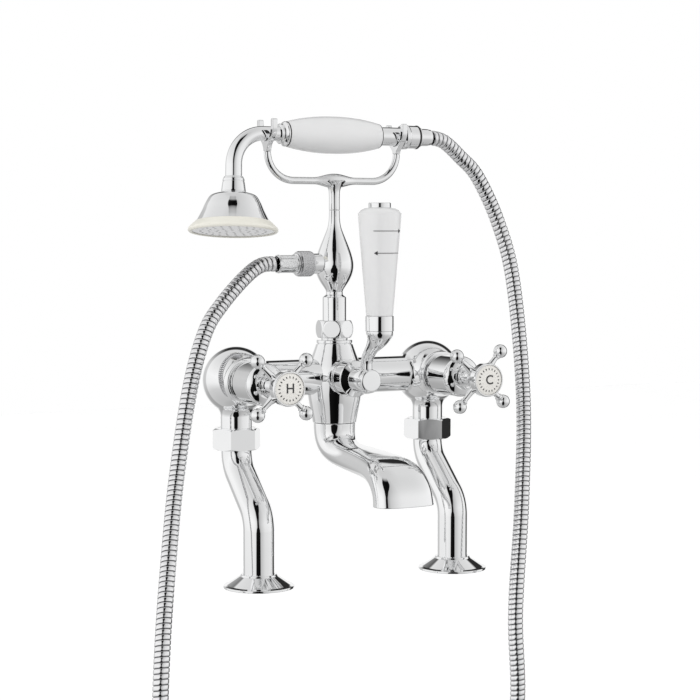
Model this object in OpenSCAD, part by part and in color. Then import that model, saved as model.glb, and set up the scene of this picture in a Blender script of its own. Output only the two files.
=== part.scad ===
// Deck-mounted bath shower mixer with cross handles, lever diverter, cradle and handset.
// Millimetres. X runs from hot to cold, the spout points to -Y, Z is up.
// The origin lies on the deck, midway between the two legs.

/* [Layout] */
// Distance between the hot and cold leg centres
tap_centres = 180; // [160:1:220]
// How far the body stands behind the feet
body_setback = 42; // [34:1:55]
// Height of the valve axis above the deck
valve_z = 163; // [155:1:190]
// Height of the handset axis above the valve axis
handset_rise = 200; // [190:1:240]

/* [Fits] */
// Gap in seated joints
fit = 0.1; // [0.05:0.01:0.2]
// Radial gap of turning shafts
run_fit = 0.08; // [0.05:0.01:0.1]
// Gap between the resting handset and its forks
rest_gap = 0.3; // [0.2:0.05:0.5]

/* [Feet and legs] */
// Diameter of the foot flange
foot_d = 57; // [48:1:70]
// Height of the flange rim
foot_rim = 2; // [1:0.5:4]
// Height of the flange cone
foot_h = 11; // [8:0.5:16]
// Wall of the flange neck around the leg
foot_neck_wall = 2; // [1.5:0.5:4]
// Outside diameter of the leg tube
leg_od = 25; // [23:0.5:26]
// Bore of the leg tube
leg_bore = 18.6; // [14:0.2:19]
// Bend radius of the crank
leg_bend_r = 25; // [20:1:30]
// Angle of the crank
leg_bend_angle = 48; // [42:1:56]

/* [Unions] */
// Hexagon of the union nut across its flats
union_nut_af = 35; // [34:0.5:40]
// Height of the union nut
union_nut_h = 17.5; // [16:0.5:22]
// Turn of the hot and cold nuts about their legs
union_nut_turn = [44, 38]; // [0:1:60]
// Thread diameter of the union
union_thread_d = 30; // [29:0.2:31]
// Height of the nut's inner lip
union_lip_h = 3.5; // [3:0.5:5]
// Height of the collar on the leg
union_collar_h = 3; // [2:0.5:4]
// Thickness of the union washer
union_washer_h = 2; // [1.5:0.5:3]

/* [Valve bodies] */
// Diameter of the valve bulb
bulb_d = 55; // [52:0.2:57]
// Diameter of the tail below the bulb
tail_d = 25.8; // [24:0.2:27]
// Drop from the valve axis to the top of the union nut
tail_drop = 39; // [36:0.5:46]
// Fillet between the bulb and its tail
tail_fillet = 9; // [6:0.5:11]
// Diameter of the front boss
boss_d = 38; // [37:0.5:40]
// Front face of the boss ahead of the valve axis
boss_reach = 25.3; // [24.5:0.1:28]
// Fillet between the bulb and its front boss
boss_fillet = 4; // [3:0.5:5]
// Seat face ahead of the valve axis
seat_reach = 8.4; // [7.5:0.1:9]

/* [Crossbars] */
// Outside diameter of the crossbars
bar_od = 30; // [27:0.1:31]
// Bore of the crossbars
bar_bore = 18; // [14:0.5:19]
// Fillet between the bulb and its crossbar
bar_fillet = 6; // [4:0.5:8]
// Wall of the crossbar spigots
spigot_wall = 2; // [1.5:0.5:3]
// Length of the crossbar spigots
spigot_len = 5; // [3:0.5:6]

/* [Cartridges] */
// Diameter of the cartridge in its pocket
cartridge_d = 21.6; // [20:0.2:23]
// Diameter of the cartridge collar under the shroud
cartridge_collar_d = 28.8; // [27:0.2:29.6]
// Height of the cartridge collar
cartridge_collar_h = 9; // [6:0.5:12]
// Diameter of the cartridge neck
cartridge_neck_d = 16; // [13:0.5:20]
// Diameter of the ceramic discs
disc_d = 18; // [16.5:0.1:18.6]
// Thickness of a ceramic disc
disc_h = 3; // [2:0.5:4]
// Diameter of the disc ports
port_d = 5; // [3:0.5:5.5]
// Diameter of the spindles
spindle_d = 8; // [6:0.5:9]

/* [Shrouds] */
// Diameter of the valve shroud
shroud_d = 34; // [32:0.5:36]
// Front of the valve shroud ahead of the valve axis
shroud_reach = 61; // [56:0.5:66]
// Rounding of the shroud's front edge
shroud_round = 7; // [4:0.5:9]
// Wall of the shroud
shroud_wall = 2.5; // [1.5:0.1:2.6]

/* [Handles] */
// Plane of the spokes ahead of the valve axis
spoke_reach = 85.2; // [80:0.2:92]
// Radius of the ball centres
ball_circle_r = 30.8; // [26:0.2:34]
// Diameter of a ball
ball_d = 11.4; // [9:0.2:13]
// Diameter of a spoke at its root
spoke_root_d = 7.6; // [6:0.2:9]
// Diameter of a spoke at its ball
spoke_tip_d = 4.4; // [3:0.2:6]
// Diameter of the handle neck
handle_neck_d = 13.6; // [12:0.2:15]
// Diameter of the handle bezel
bezel_d = 27.8; // [24:0.2:30]
// Depth of the handle bezel
bezel_h = 9.5; // [7:0.5:12]
// Wall of the bezel around the index
bezel_wall = 1.5; // [1:0.1:2.5]
// Depth of the index in the bezel
index_depth = 3.5; // [2.5:0.5:5]
// Crown of the index
index_crown = 1.2; // [0.5:0.1:2]

/* [Centre body] */
// Largest diameter of the centre body
centre_d = 47.6; // [45:0.2:50]
// Diameter of the centre body at its lower joint
centre_foot_d = 37; // [36:0.2:39]
// Drop from the valve axis to the lower joint
centre_drop = 38.4; // [36:0.2:44]
// Diameter of the top collar
centre_collar_d = 32.4; // [30:0.2:34]
// Rise from the valve axis to the top of the collar
centre_rise = 30.5; // [29:0.5:36]
// Height of the top collar
centre_collar_h = 2.7; // [2:0.1:4]
// Diameter of the boss behind the diverter bonnet
diverter_boss_d = 31; // [30:0.2:32]
// Face of that boss ahead of the valve axis
diverter_boss_reach = 24; // [23.5:0.1:26]

/* [Diverter] */
// Diameter of the diverter bonnet
diverter_bonnet_d = 30; // [28:0.2:31]
// Front of the diverter bonnet ahead of the valve axis
diverter_bonnet_reach = 42.5; // [40:0.5:45]
// Rounding of the bonnet's front edge
diverter_bonnet_round = 3.5; // [2:0.5:4.5]
// Diameter of the lever hub
hub_d = 22; // [20:0.2:24]
// Length of the lever hub
hub_len = 19; // [17:0.5:22]
// Diameter of the hub cap
cap_d = 19.2; // [16:0.2:19.6]
// Length of the hub cap
cap_len = 3; // [2:0.5:5]

/* [Lever] */
// How far the lever grip stands ahead of the valve axis
grip_reach = 78; // [75:0.5:84]
// Rise from the valve axis to the bottom of the lever cup
cup_rise = 39; // [37:0.5:46]
// Diameter of the lever cup
cup_d = 23; // [22:0.2:26]
// Height of the lever cup
cup_h = 14.4; // [11:0.2:18]
// Diameter of the lever arm
arm_d = 10.8; // [9:0.2:12]
// Bend radius of the lever arm
arm_bend_r = 10; // [8:0.5:12]
// Lean of the lever arm's lower run
arm_lean = 4; // [0:1:10]
// Slant of the lever arm's upper run
arm_slant = 58; // [54:1:64]
// Length of the lever grip
lever_grip_len = 86; // [70:1:100]
// Diameter of the lever grip at its foot
lever_grip_foot_d = 21.6; // [18:0.2:22]
// Diameter of the lever grip at its shoulder
lever_grip_top_d = 34.6; // [30:0.2:38]
// Diameter of the lever rod
lever_rod_d = 6; // [4:0.5:8]
// Diameter of the lever finial
finial_d = 17.4; // [14:0.2:20]
// Height of the lever finial
finial_h = 3.3; // [2:0.1:6]

/* [Spout] */
// Diameter of the spout at its joint
spout_d = 35.5; // [34:0.5:36]
// Wall of the spout
spout_wall = 2.4; // [2:0.1:3]
// Height of the spout at its waist
spout_waist = 20; // [18:0.5:25]
// Width of the spout mouth
mouth_w = 51; // [44:0.5:56]
// Depth of the spout mouth
mouth_depth = 25; // [22:0.5:29]
// Mouth centre ahead of the spout joint
mouth_reach = 117.5; // [105:0.5:135]
// Mouth below the spout joint
mouth_drop = 56; // [52:0.5:64]

/* [Riser] */
// Hexagon of the riser nut across its flats
riser_nut_af = 28; // [26:0.2:30]
// Height of the riser nut
riser_nut_h = 14.8; // [12:0.2:18]
// Turn of the riser nut
riser_nut_turn = 24; // [0:1:60]
// Thread diameter of the riser nut
riser_thread_d = 22.6; // [22.2:0.1:23.4]
// Diameter of the riser column
column_d = 20; // [18:0.2:20.6]
// Length of the riser column above its nut
column_len = 19; // [14:0.5:26]
// Diameter of the neck between the column and the vase
riser_neck_d = 14.2; // [13:0.2:16]
// Height of that neck
riser_neck_h = 4; // [3:0.5:6]
// Bore of the riser
riser_bore = 10.4; // [8:0.2:11]
// Largest diameter of the vase
vase_d = 32.2; // [28:0.2:38]
// Height of the vase
vase_h = 68; // [62:0.5:80]
// Diameter of the stem on top of the vase
stem_d = 9; // [8:0.2:11]
// Height of the hose outlet above the foot of the vase
outlet_rise = 24; // [20:0.5:28]

/* [Cradle] */
// Diameter of the cradle bar
cradle_bar_d = 5.8; // [5:0.1:7]
// Bend radius of the cradle arms
cradle_bend_r = 23.5; // [20:0.5:26]
// Places of the front and rear forks along X
fork_x = [-61.5, 59]; // [-80:0.5:80]
// Outer radius of a fork
fork_r = 15; // [14:0.5:18]
// Thickness of a prong
prong_t = 4; // [3:0.2:5]
// Width of a fork along the handset
fork_w = 4.6; // [3.5:0.2:6]
// Height of the front and rear prong tips above the handset axis
prong_rise = [11.6, 9.4]; // [8:0.2:15]
// Flat at the bottom of a fork
fork_flat = 0.7; // [0.5:0.1:1]

/* [Hose] */
// Outside diameter of the hose
hose_d = 12.7; // [12:0.1:15]
// Bore of the hose
hose_bore = 8; // [6:0.5:9]
// Depth of the grooves between ribs
rib_depth = 0.9; // [0.4:0.1:1.4]
// Straight run of the hose out of each ferrule
hose_straight = 14; // [10:1:20]
// Spacing of the ribs
rib_pitch = 8; // [8:0.5:16]

/* [Hose fittings] */
// Diameter of a hose nut
hose_nut_d = 21; // [19:0.2:24]
// Length of the outlet nut
outlet_nut_len = 13; // [12:0.5:16]
// Length of the handset nut
handset_nut_len = 14.8; // [13:0.2:20]
// Thread diameter of the hose nuts
hose_thread_d = 14.6; // [14:0.1:15.6]
// Length of the outlet stub in front of its nut
outlet_stub = 22; // [20:0.5:26]
// Diameter of the outlet stub
outlet_stub_d = 17; // [14.8:0.1:18]
// Length of the outlet ferrule outside its nut
outlet_ferrule_len = 18.4; // [14:0.2:24]
// Length of the handset ferrule outside its nut
handset_ferrule_len = 13.4; // [10:0.2:18]

/* [Handset] */
// Length of the handset grip
grip_len = 85.8; // [78:0.2:92]
// Largest diameter of the handset grip
grip_d = 30.8; // [27:0.2:34]
// Diameter of the grip at its ends
grip_end_d = 20.6; // [18:0.2:23]
// Centre of the grip along X
grip_x = -1.7; // [-5:0.1:3]
// Diameter of the neck tube
neck_d = 11.8; // [11:0.1:13]
// Bore of the neck tube
neck_bore = 8; // [6:0.2:9]
// Length of the grip's front ring
ring_len = 6.7; // [5:0.1:9]
// Diameter of the sleeve behind the grip
sleeve_d = 15.6; // [15:0.1:17]
// Length of the sleeve behind the grip
sleeve_len = 21.8; // [20.5:0.1:25]
// Start of the neck bend along X
neck_bend_x = -65; // [-72:0.5:-64.5]
// Radius of the neck bend
neck_bend_r = 28; // [24:0.5:34]
// Angle of the neck bend
neck_bend_angle = 86; // [80:1:92]
// Straight drop from the bend to the rose
neck_drop = 14; // [10:0.5:20]
// Lean of the handset about its own axis
handset_roll = 7; // [0:1:12]

/* [Rose] */
// Diameter of the rose nut at its foot
rose_nut_d = 20.4; // [18:0.2:23]
// Height of the rose nut
rose_nut_h = 9.2; // [7:0.2:12]
// Height of the bell
bell_h = 19.5; // [16:0.5:24]
// Diameter of the bell at its mouth
bell_d = 60; // [54:0.5:64]
// Wall of the bell
bell_wall = 1.5; // [1:0.1:2]
// Diameter of the rim
rim_d = 72.8; // [68:0.2:80]
// Height of the rim
rim_h = 12; // [9:0.5:14]
// Diameter of the spray face
face_d = 66; // [60:0.5:67]
// Thickness of the spray face
face_h = 2; // [1.5:0.1:3]
// Depth of the spray face behind the rim's edge
face_recess = 0.6; // [0.4:0.2:3]
// Diameter of a spray hole
spray_hole_d = 2; // [1:0.1:2.4]

/* [Hidden] */
$fn = 72;
HOT = -1;
COLD = 1;
// Extra length that carries a cut through a face
over = 1;
// Crossing of two surfaces that blend, so that they meet on a clear edge
sink = 0.05;
// Bends stand proud of their straight runs by this much, and the runs enter them by lap
bead = 0.05;
lap = 0.5;
// Turn of a revolved blank about its own axis, so that start lines of crossing bodies lie apart
start_turn = 20;

union_z = valve_z - tail_drop - union_nut_h;
leg_top_z = union_z + union_lip_h + union_collar_h;
crank_side = 2 * leg_bend_r * (1 - cos(leg_bend_angle));
crank_run = (body_setback - crank_side) / sin(leg_bend_angle);
crank_rise = 2 * leg_bend_r * sin(leg_bend_angle) + crank_run * cos(leg_bend_angle);
crank_top_z = union_z - over;
crank_foot_z = crank_top_z - crank_rise;

bar_end = fillet_reach(bulb_d / 2, bar_od / 2, bar_fillet);
bar_socket_x = 17;

disc_face = seat_reach + fit;
spindle_foot = disc_face + 2 * disc_h;
spindle_foot_h = 2.4;
chamber_end = spindle_foot + spindle_foot_h + 2 * fit;
handle_face = shroud_reach + 0.6;
bezel_face = spoke_reach + spoke_root_d / 2 + 0.5;
index_face = bezel_face + bezel_h;

diverter_disc_d = 14;
diverter_pocket = 9;
hub_face = diverter_bonnet_reach + 0.5;
cap_face = hub_face + hub_len;

spout_z = valve_z - centre_drop;
riser_seat_z = valve_z + centre_rise + 1.5;
riser_thread_h = riser_nut_h * 0.55;
riser_collar_h = 3.4;
column_top_z = riser_seat_z + riser_nut_h + column_len;
vase_z = column_top_z + riser_neck_h;
outlet_z = vase_z + outlet_rise;
cradle_z = vase_z + vase_h;
handset_z = valve_z + handset_rise;
bar_z = handset_z - fork_r + fork_flat - cradle_bend_r;

hose_collar_h = 2;
hose_lip_h = 2.5;
grip_x0 = grip_x - grip_len / 2;
grip_x1 = grip_x + grip_len / 2;
sleeve_x1 = grip_x1 + sleeve_len;
handset_nut_x1 = sleeve_x1 + handset_nut_len;
handset_hose_x = handset_nut_x1 + handset_ferrule_len;
outlet_nut_x = -outlet_stub - outlet_nut_len;
outlet_hose_x = outlet_nut_x - outlet_ferrule_len;

// Route of the hose from its outlet on the vase, down in front of the deck and up to the handset
hose_route = [
    [outlet_hose_x - hose_straight, body_setback, outlet_z - 1],
    [-83, 40, 246], [-106, 36, 224], [-123, 29, 203], [-141, 18, 160], [-159, 4, 90],
    [-176, -20, 30], [-192, -46, -30], [-199, -58, -90], [-197, -64, -150],
    [-176, -66, -215], [-134, -66, -268], [-78, -66, -297], [-18, -66, -300], [40, -66, -278],
    [84, -66, -232], [108, -66, -165], [114, -65, -95], [118, -55, -30],
    [138, -33, 60], [157, -5, 145], [165, 24, 240], [158, 37, 290], [139, 41, 330],
    [122, 42, 347], [handset_hose_x + hose_straight, body_setback, handset_z - 3]
];

// One span of a smooth curve through points a, b, c and d
function span(a, b, c, d, t) =
    0.5 * (2 * b + (c - a) * t + (2 * a - 5 * b + 4 * c - d) * t * t
        + (3 * b - a - 3 * c + d) * t * t * t);

// Smooth curve through all points, with steps of about the given length
function smooth(p, step) = [
    for (i = [0 : len(p) - 2])
        let (n = max(1, round(norm(p[i + 1] - p[i]) / step)))
            for (k = [0 : n - 1])
                span(p[max(i - 1, 0)], p[i], p[i + 1], p[min(i + 2, len(p) - 1)], k / n),
    p[len(p) - 1]
];

function unit(v) = v / norm(v);

function flat(lists) = [for (l = lists) for (p = l) p];

// Unit direction of a curve at each of its points
function tangent(p, i) = unit(p[min(i + 1, len(p) - 1)] - p[max(i - 1, 0)]);

// Distance from a ball's centre at which a fillet runs out on a coaxial neck
function fillet_reach(ball_r, neck_r, fillet) =
    sqrt(pow(ball_r - sink + fillet, 2) - pow(neck_r + fillet, 2));

// Triangles between rings of points, from ring 0 to the last, starting at a given point number
function wall(rings, sides, start, inward) = [
    for (i = [0 : rings - 2]) for (j = [0 : sides - 1])
        let (a = start + i * sides + j, b = start + i * sides + (j + 1) % sides)
            for (t = inward ? [[a, a + sides, b], [b, a + sides, b + sides]]
                            : [[a, b, a + sides], [b, b + sides, a + sides]]) t
];

// Triangles between two rings at one end of a hollow sweep
function end_face(sides, outer, inner, first) = [
    for (j = [0 : sides - 1])
        let (k = (j + 1) % sides)
            for (t = first ? [[outer + j, inner + j, outer + k], [outer + k, inner + j, inner + k]]
                           : [[outer + j, outer + k, inner + j], [outer + k, inner + k, inner + j]]) t
];

// Hollow sweep between outer and inner rings of the same number of points
module hollow_sweep(outer, inner) {
    sides = len(outer[0]);
    base = len(outer) * sides;
    last = (len(outer) - 1) * sides;
    inner_last = base + (len(inner) - 1) * sides;
    polyhedron(
        points = concat(flat(outer), flat(inner)),
        faces = concat(
            wall(len(outer), sides, 0, false), wall(len(inner), sides, base, true),
            end_face(sides, 0, base, true), end_face(sides, last, inner_last, false)));
}

// Valve frame: its z axis points forward along the spindle and its y axis points up
module at_valve(side) {
    translate([side * tap_centres / 2, body_setback, valve_z]) rotate([90, 0, 0]) children();
}

module at_centre_front() {
    translate([0, body_setback, valve_z]) rotate([90, 0, 0]) children();
}

// Handset frame: its origin is on the handset axis above the riser
module at_handset() {
    translate([0, body_setback, handset_z]) rotate([-handset_roll, 0, 0]) children();
}

// Turns a revolved piece so that its axis lies along X, starting at x
module along_x(x) {
    translate([x, 0, 0]) rotate([0, 90, 0]) children();
}

module ring(outer_d, inner_d, h) {
    difference() {
        cylinder(d = outer_d, h = h);
        translate([0, 0, -over]) cylinder(d = inner_d, h = h + 2 * over);
    }
}

// Concave fillet that grows out of a ball of radius ball_r onto a coaxial neck
module neck_fillet(ball_r, neck_r, fillet) {
    reach = fillet_reach(ball_r, neck_r, fillet);
    rotate_extrude() difference() {
        polygon([[0, 0], [neck_r + fillet, reach], [0, reach]]);
        translate([neck_r + fillet, reach]) circle(r = fillet);
    }
}

// Hexagon prism with its corners turned down at both ends
module hex_blank(af, h, turned) {
    corner_d = af / cos(30);
    intersection() {
        cylinder(d = corner_d, h = h, $fn = 6);
        rotate_extrude() polygon([
            [0, 0], [af / 2, 0], [corner_d / 2, turned], [corner_d / 2, h - turned],
            [af / 2, h], [0, h]]);
    }
}

module foot(side) {
    neck_r = leg_od / 2 + foot_neck_wall;
    translate([side * tap_centres / 2, 0, 0]) difference() {
        rotate_extrude() polygon([
            [0, 0], [foot_d / 2, 0], [foot_d / 2, foot_rim], [foot_d / 2 - foot_rim, foot_rim + 0.6],
            [neck_r, foot_h - 1], [neck_r - 0.6, foot_h], [0, foot_h]]);
        translate([0, 0, -over]) cylinder(d = leg_od + 2 * fit, h = foot_h + 2 * over);
    }
}

// Part of a ring of tube, starting on the x axis
module tube_bend(bend_r, angle, outer_d, inner_d) {
    rotate_extrude(angle = angle) translate([bend_r, 0]) difference() {
        circle(d = outer_d + 2 * bead);
        circle(d = inner_d - 2 * bead);
    }
}

// Cranked tube with the collar that the union nut pulls up
module leg(side) {
    turn_y = leg_bend_r * (1 - cos(leg_bend_angle));
    turn_z = leg_bend_r * sin(leg_bend_angle);
    collar_r = union_thread_d / 2 - fit;
    collar_foot = leg_top_z - union_collar_h - crank_top_z;
    translate([side * tap_centres / 2, 0, 0]) {
        ring(leg_od, leg_bore, crank_foot_z + lap);
        translate([0, leg_bend_r, crank_foot_z]) rotate([90, 0, -90])
            tube_bend(leg_bend_r, leg_bend_angle, leg_od, leg_bore);
        translate([0, turn_y, crank_foot_z + turn_z]) rotate([-leg_bend_angle, 0, 0])
            translate([0, 0, -lap]) ring(leg_od, leg_bore, crank_run + 2 * lap);
        translate([0, body_setback - leg_bend_r, crank_top_z]) rotate([90, 0, 90])
            rotate([0, 0, -leg_bend_angle]) tube_bend(leg_bend_r, leg_bend_angle, leg_od, leg_bore);
        translate([0, body_setback, crank_top_z]) rotate_extrude() polygon([
            [leg_bore / 2, -lap], [leg_od / 2, -lap], [leg_od / 2, collar_foot], [collar_r, collar_foot],
            [collar_r, collar_foot + union_collar_h], [leg_bore / 2, collar_foot + union_collar_h]]);
    }
}

module union_nut(side, turn) {
    translate([side * tap_centres / 2, body_setback, union_z]) difference() {
        rotate([0, 0, turn]) hex_blank(union_nut_af, union_nut_h, 1.6);
        translate([0, 0, union_lip_h]) cylinder(d = union_thread_d, h = union_nut_h);
        translate([0, 0, -over]) cylinder(d = leg_od + 2 * fit, h = union_lip_h + 2 * over);
    }
}

module union_washer(side) {
    translate([side * tap_centres / 2, body_setback, leg_top_z])
        ring(union_thread_d - 1, leg_bore, union_washer_h);
}

// The tail passes into the union nut and ends on its washer
module valve_body(side) {
    bulb_r = bulb_d / 2;
    tail_end = valve_z - leg_top_z - union_washer_h;
    at_valve(side) mirror([side == HOT ? 1 : 0, 0, 0]) difference() {
        union() {
            sphere(r = bulb_r);
            rotate([90, 0, 0]) {
                neck_fillet(bulb_r, tail_d / 2, tail_fillet);
                cylinder(d = tail_d, h = tail_end);
                translate([0, 0, tail_drop + fit])
                    cylinder(d = union_thread_d - 2 * fit, h = tail_end - tail_drop - fit);
            }
            rotate([0, -90, 0]) {
                neck_fillet(bulb_r, bar_od / 2, bar_fillet);
                cylinder(d = bar_od, h = bar_end);
            }
            neck_fillet(bulb_r, boss_d / 2, boss_fillet);
            cylinder(d = boss_d, h = boss_reach);
        }
        translate([0, 0, seat_reach]) cylinder(d = cartridge_d + 2 * fit, h = boss_reach);
        cylinder(d = disc_d - 6, h = boss_reach);
        rotate([90, 0, 0]) cylinder(d = leg_bore - 2, h = tail_end + over);
        translate([-bulb_r - over, 0, 0]) rotate([0, 90, 0])
            cylinder(d = bar_bore + 2 * spigot_wall + 2 * fit,
                h = bulb_r + over - bar_end + spigot_len + fit);
        translate([-bar_end, 0, spigot_wall]) rotate([0, 60, 0]) cylinder(d = 7, h = 15);
    }
}

// The crossbar's two spigots enter the valve body and the centre body
module crossbar(side) {
    outer_x = tap_centres / 2 - bar_end;
    spigot_d = bar_bore + 2 * spigot_wall;
    translate([0, body_setback, valve_z]) rotate([0, side * 90, 0]) difference() {
        union() {
            translate([0, 0, bar_socket_x]) cylinder(d = bar_od, h = outer_x - bar_socket_x);
            translate([0, 0, bar_socket_x - spigot_len])
                cylinder(d = spigot_d, h = outer_x - bar_socket_x + 2 * spigot_len);
        }
        translate([0, 0, -over]) cylinder(d = bar_bore, h = tap_centres);
    }
}

module cartridge(side) {
    chamber_d = disc_d + 2 * run_fit;
    at_valve(side) difference() {
        union() {
            translate([0, 0, seat_reach]) cylinder(d = cartridge_d, h = boss_reach - seat_reach);
            translate([0, 0, boss_reach]) cylinder(d = cartridge_collar_d, h = cartridge_collar_h);
            cylinder(d = cartridge_neck_d, h = shroud_reach - shroud_wall - fit);
            translate([0, 0, seat_reach]) cylinder(d = cartridge_neck_d, h = fit);
        }
        translate([0, 0, -over]) cylinder(d = cartridge_neck_d + over, h = seat_reach + over);
        translate([0, 0, seat_reach - over]) cylinder(d = chamber_d, h = chamber_end - seat_reach + over);
        cylinder(d = spindle_d + 2 * run_fit, h = shroud_reach);
    }
}

// Ceramic disc with two ports on a line, turned by the given angle
module ported_disc(d, start, turn) {
    translate([0, 0, start]) rotate([0, 0, turn]) difference() {
        cylinder(d = d, h = disc_h);
        for (x = [-1, 1]) translate([x * d / 4, 0, -over]) cylinder(d = port_d, h = disc_h + 2 * over);
    }
}

// Bell cover that screws onto the cartridge collar and hides it
module shroud(side) {
    r = shroud_d / 2;
    at_valve(side) difference() {
        rotate_extrude() {
            square_h = shroud_reach - shroud_round;
            translate([0, boss_reach]) square([r, square_h - boss_reach]);
            translate([0, square_h]) square([r - shroud_round, shroud_round]);
            intersection() {
                translate([r - shroud_round, square_h]) circle(r = shroud_round);
                translate([0, square_h]) square([r, shroud_round]);
            }
        }
        translate([0, 0, boss_reach - over])
            cylinder(d = cartridge_collar_d + 2 * fit, h = cartridge_collar_h + over + fit);
        translate([0, 0, boss_reach])
            cylinder(d = min(cartridge_collar_d, shroud_d - 2 * shroud_round),
                h = shroud_reach - shroud_wall - boss_reach);
        cylinder(d = spindle_d + 6 * run_fit, h = shroud_reach + over);
    }
}

module spindle(side) {
    at_valve(side) {
        translate([0, 0, spindle_foot]) cylinder(d = disc_d - 1, h = spindle_foot_h);
        translate([0, 0, spindle_foot]) cylinder(d = spindle_d, h = spoke_reach - spindle_foot);
    }
}

module handle(side) {
    neck_r = handle_neck_d / 2;
    root_r = neck_r + 2;
    at_valve(side) difference() {
        union() {
            rotate_extrude() polygon(concat(
                [[0, handle_face], [neck_r + 1.2, handle_face], [neck_r + 1.2, handle_face + 2]],
                smooth([[neck_r, handle_face + 4], [neck_r, spoke_reach - 9],
                    [root_r, spoke_reach - 4], [root_r, spoke_reach], [bezel_d / 2 - 2, bezel_face - 1],
                    [bezel_d / 2, bezel_face]], 2),
                [[bezel_d / 2, index_face - 1], [bezel_d / 2 - 0.6, index_face], [0, index_face]]));
            translate([0, 0, spoke_reach]) for (a = [45 : 90 : 315]) rotate([0, 0, a]) {
                rotate([0, 90, 0]) cylinder(d1 = spoke_root_d, d2 = spoke_tip_d, h = ball_circle_r);
                translate([ball_circle_r, 0, 0]) sphere(d = ball_d);
            }
        }
        cylinder(d = spindle_d + 2 * fit, h = spoke_reach + fit);
        translate([0, 0, index_face - index_depth])
            cylinder(d = bezel_d - 2 * bezel_wall, h = index_depth + over);
    }
}

// Ceramic button with a low crown
module index(side) {
    r = bezel_d / 2 - bezel_wall - fit;
    crown_r = (r * r + index_crown * index_crown) / (2 * index_crown);
    at_valve(side) {
        translate([0, 0, index_face - index_depth]) cylinder(r = r, h = index_depth - 0.4);
        intersection() {
            translate([0, 0, index_face - index_depth]) cylinder(r = r, h = index_depth + 2 * index_crown);
            translate([0, 0, index_face - 0.4 + index_crown - crown_r]) sphere(r = crown_r, $fn = 120);
        }
    }
}

module centre_body() {
    foot_r = centre_foot_d / 2;
    r = centre_d / 2;
    collar_r = centre_collar_d / 2;
    collar_foot = centre_rise - centre_collar_h;
    spigot_d = bar_bore + 2 * spigot_wall + 2 * fit;
    translate([0, body_setback, valve_z]) difference() {
        union() {
            rotate([0, 0, start_turn]) rotate_extrude() polygon(concat(
                [[0, -centre_drop]],
                smooth([[foot_r, -centre_drop], [(foot_r + r) / 2, -centre_drop * 0.75],
                    [r - 1, -centre_drop * 0.38], [r, 0], [r - 0.5, collar_foot * 0.42],
                    [r - 3, collar_foot * 0.78], [collar_r + 0.4, collar_foot]], 4),
                [[collar_r, collar_foot], [collar_r, centre_rise], [0, centre_rise]]));
            rotate([0, 0, start_turn / 2])
                cylinder(d = riser_thread_d - 2 * fit, h = riser_seat_z - valve_z + riser_thread_h);
            translate([0, 0, -centre_drop - spigot_len])
                cylinder(d = spout_d - 2 * spout_wall - 2, h = spigot_len + over);
            rotate([90, start_turn / 3, 0]) cylinder(d = diverter_boss_d, h = diverter_boss_reach);
        }
        rotate([0, 90, 0]) rotate([0, 0, start_turn / 2]) cylinder(d = spigot_d, h = 3 * r, center = true);
        for (side = [HOT, COLD]) rotate([0, side * 90, 0]) rotate([0, 0, 1.6 * start_turn])
            translate([0, 0, bar_socket_x]) cylinder(d = bar_od + 2 * fit, h = r);
        rotate([90, 0, 0]) rotate([0, 0, 0.8 * start_turn]) {
            translate([0, 0, diverter_pocket]) cylinder(d = cartridge_neck_d + 2 * fit, h = r);
            cylinder(d = diverter_disc_d - 5, h = r);
        }
        translate([0, 0, -centre_drop - spigot_len - over]) rotate([0, 0, 2 * start_turn])
            cylinder(d = leg_bore, h = centre_drop);
        rotate([0, 0, 2.5 * start_turn]) cylinder(d = riser_bore, h = riser_seat_z);
    }
}

module diverter_cartridge() {
    at_centre_front() difference() {
        union() {
            translate([0, 0, diverter_pocket])
                cylinder(d = cartridge_neck_d,
                    h = diverter_bonnet_reach - shroud_wall - fit - diverter_pocket);
            translate([0, 0, diverter_boss_reach])
                cylinder(d = diverter_bonnet_d - 2 * shroud_wall - 2 * fit, h = 5);
        }
        translate([0, 0, diverter_pocket - over])
            cylinder(d = diverter_disc_d + 2 * run_fit, h = 2 * disc_h + spindle_foot_h + over);
        cylinder(d = spindle_d + 2 * run_fit, h = diverter_bonnet_reach);
    }
}

module diverter_bonnet() {
    r = diverter_bonnet_d / 2;
    square_h = diverter_bonnet_reach - diverter_bonnet_round;
    at_centre_front() difference() {
        rotate_extrude() {
            translate([0, diverter_boss_reach]) square([r, square_h - diverter_boss_reach]);
            translate([0, square_h]) square([r - diverter_bonnet_round, diverter_bonnet_round]);
            intersection() {
                translate([r - diverter_bonnet_round, square_h]) circle(r = diverter_bonnet_round);
                translate([0, square_h]) square([r, diverter_bonnet_round]);
            }
        }
        translate([0, 0, diverter_boss_reach - over])
            cylinder(d = diverter_bonnet_d - 2 * shroud_wall, h = square_h - diverter_boss_reach + over);
        translate([0, 0, diverter_boss_reach])
            cylinder(d = cartridge_neck_d + 2 * fit,
                h = diverter_bonnet_reach - shroud_wall - diverter_boss_reach);
        cylinder(d = spindle_d + 6 * run_fit, h = diverter_bonnet_reach + over);
    }
}

module diverter_spindle() {
    foot_start = diverter_pocket + 2 * disc_h + fit;
    at_centre_front() {
        translate([0, 0, foot_start]) cylinder(d = diverter_disc_d - 1, h = spindle_foot_h - 2 * fit);
        translate([0, 0, foot_start]) cylinder(d = spindle_d, h = cap_face - foot_start);
    }
}

// Bend of the lever arm from its z axis towards -y, with what follows it
module arm_bend(angle) {
    translate([0, -arm_bend_r, 0]) rotate([90, 0, 90])
        rotate_extrude(angle = angle) translate([arm_bend_r, 0]) circle(d = arm_d + 2 * bead);
    translate([0, -arm_bend_r * (1 - cos(angle)), arm_bend_r * sin(angle)]) rotate([angle, 0, 0])
        children();
}

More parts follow.
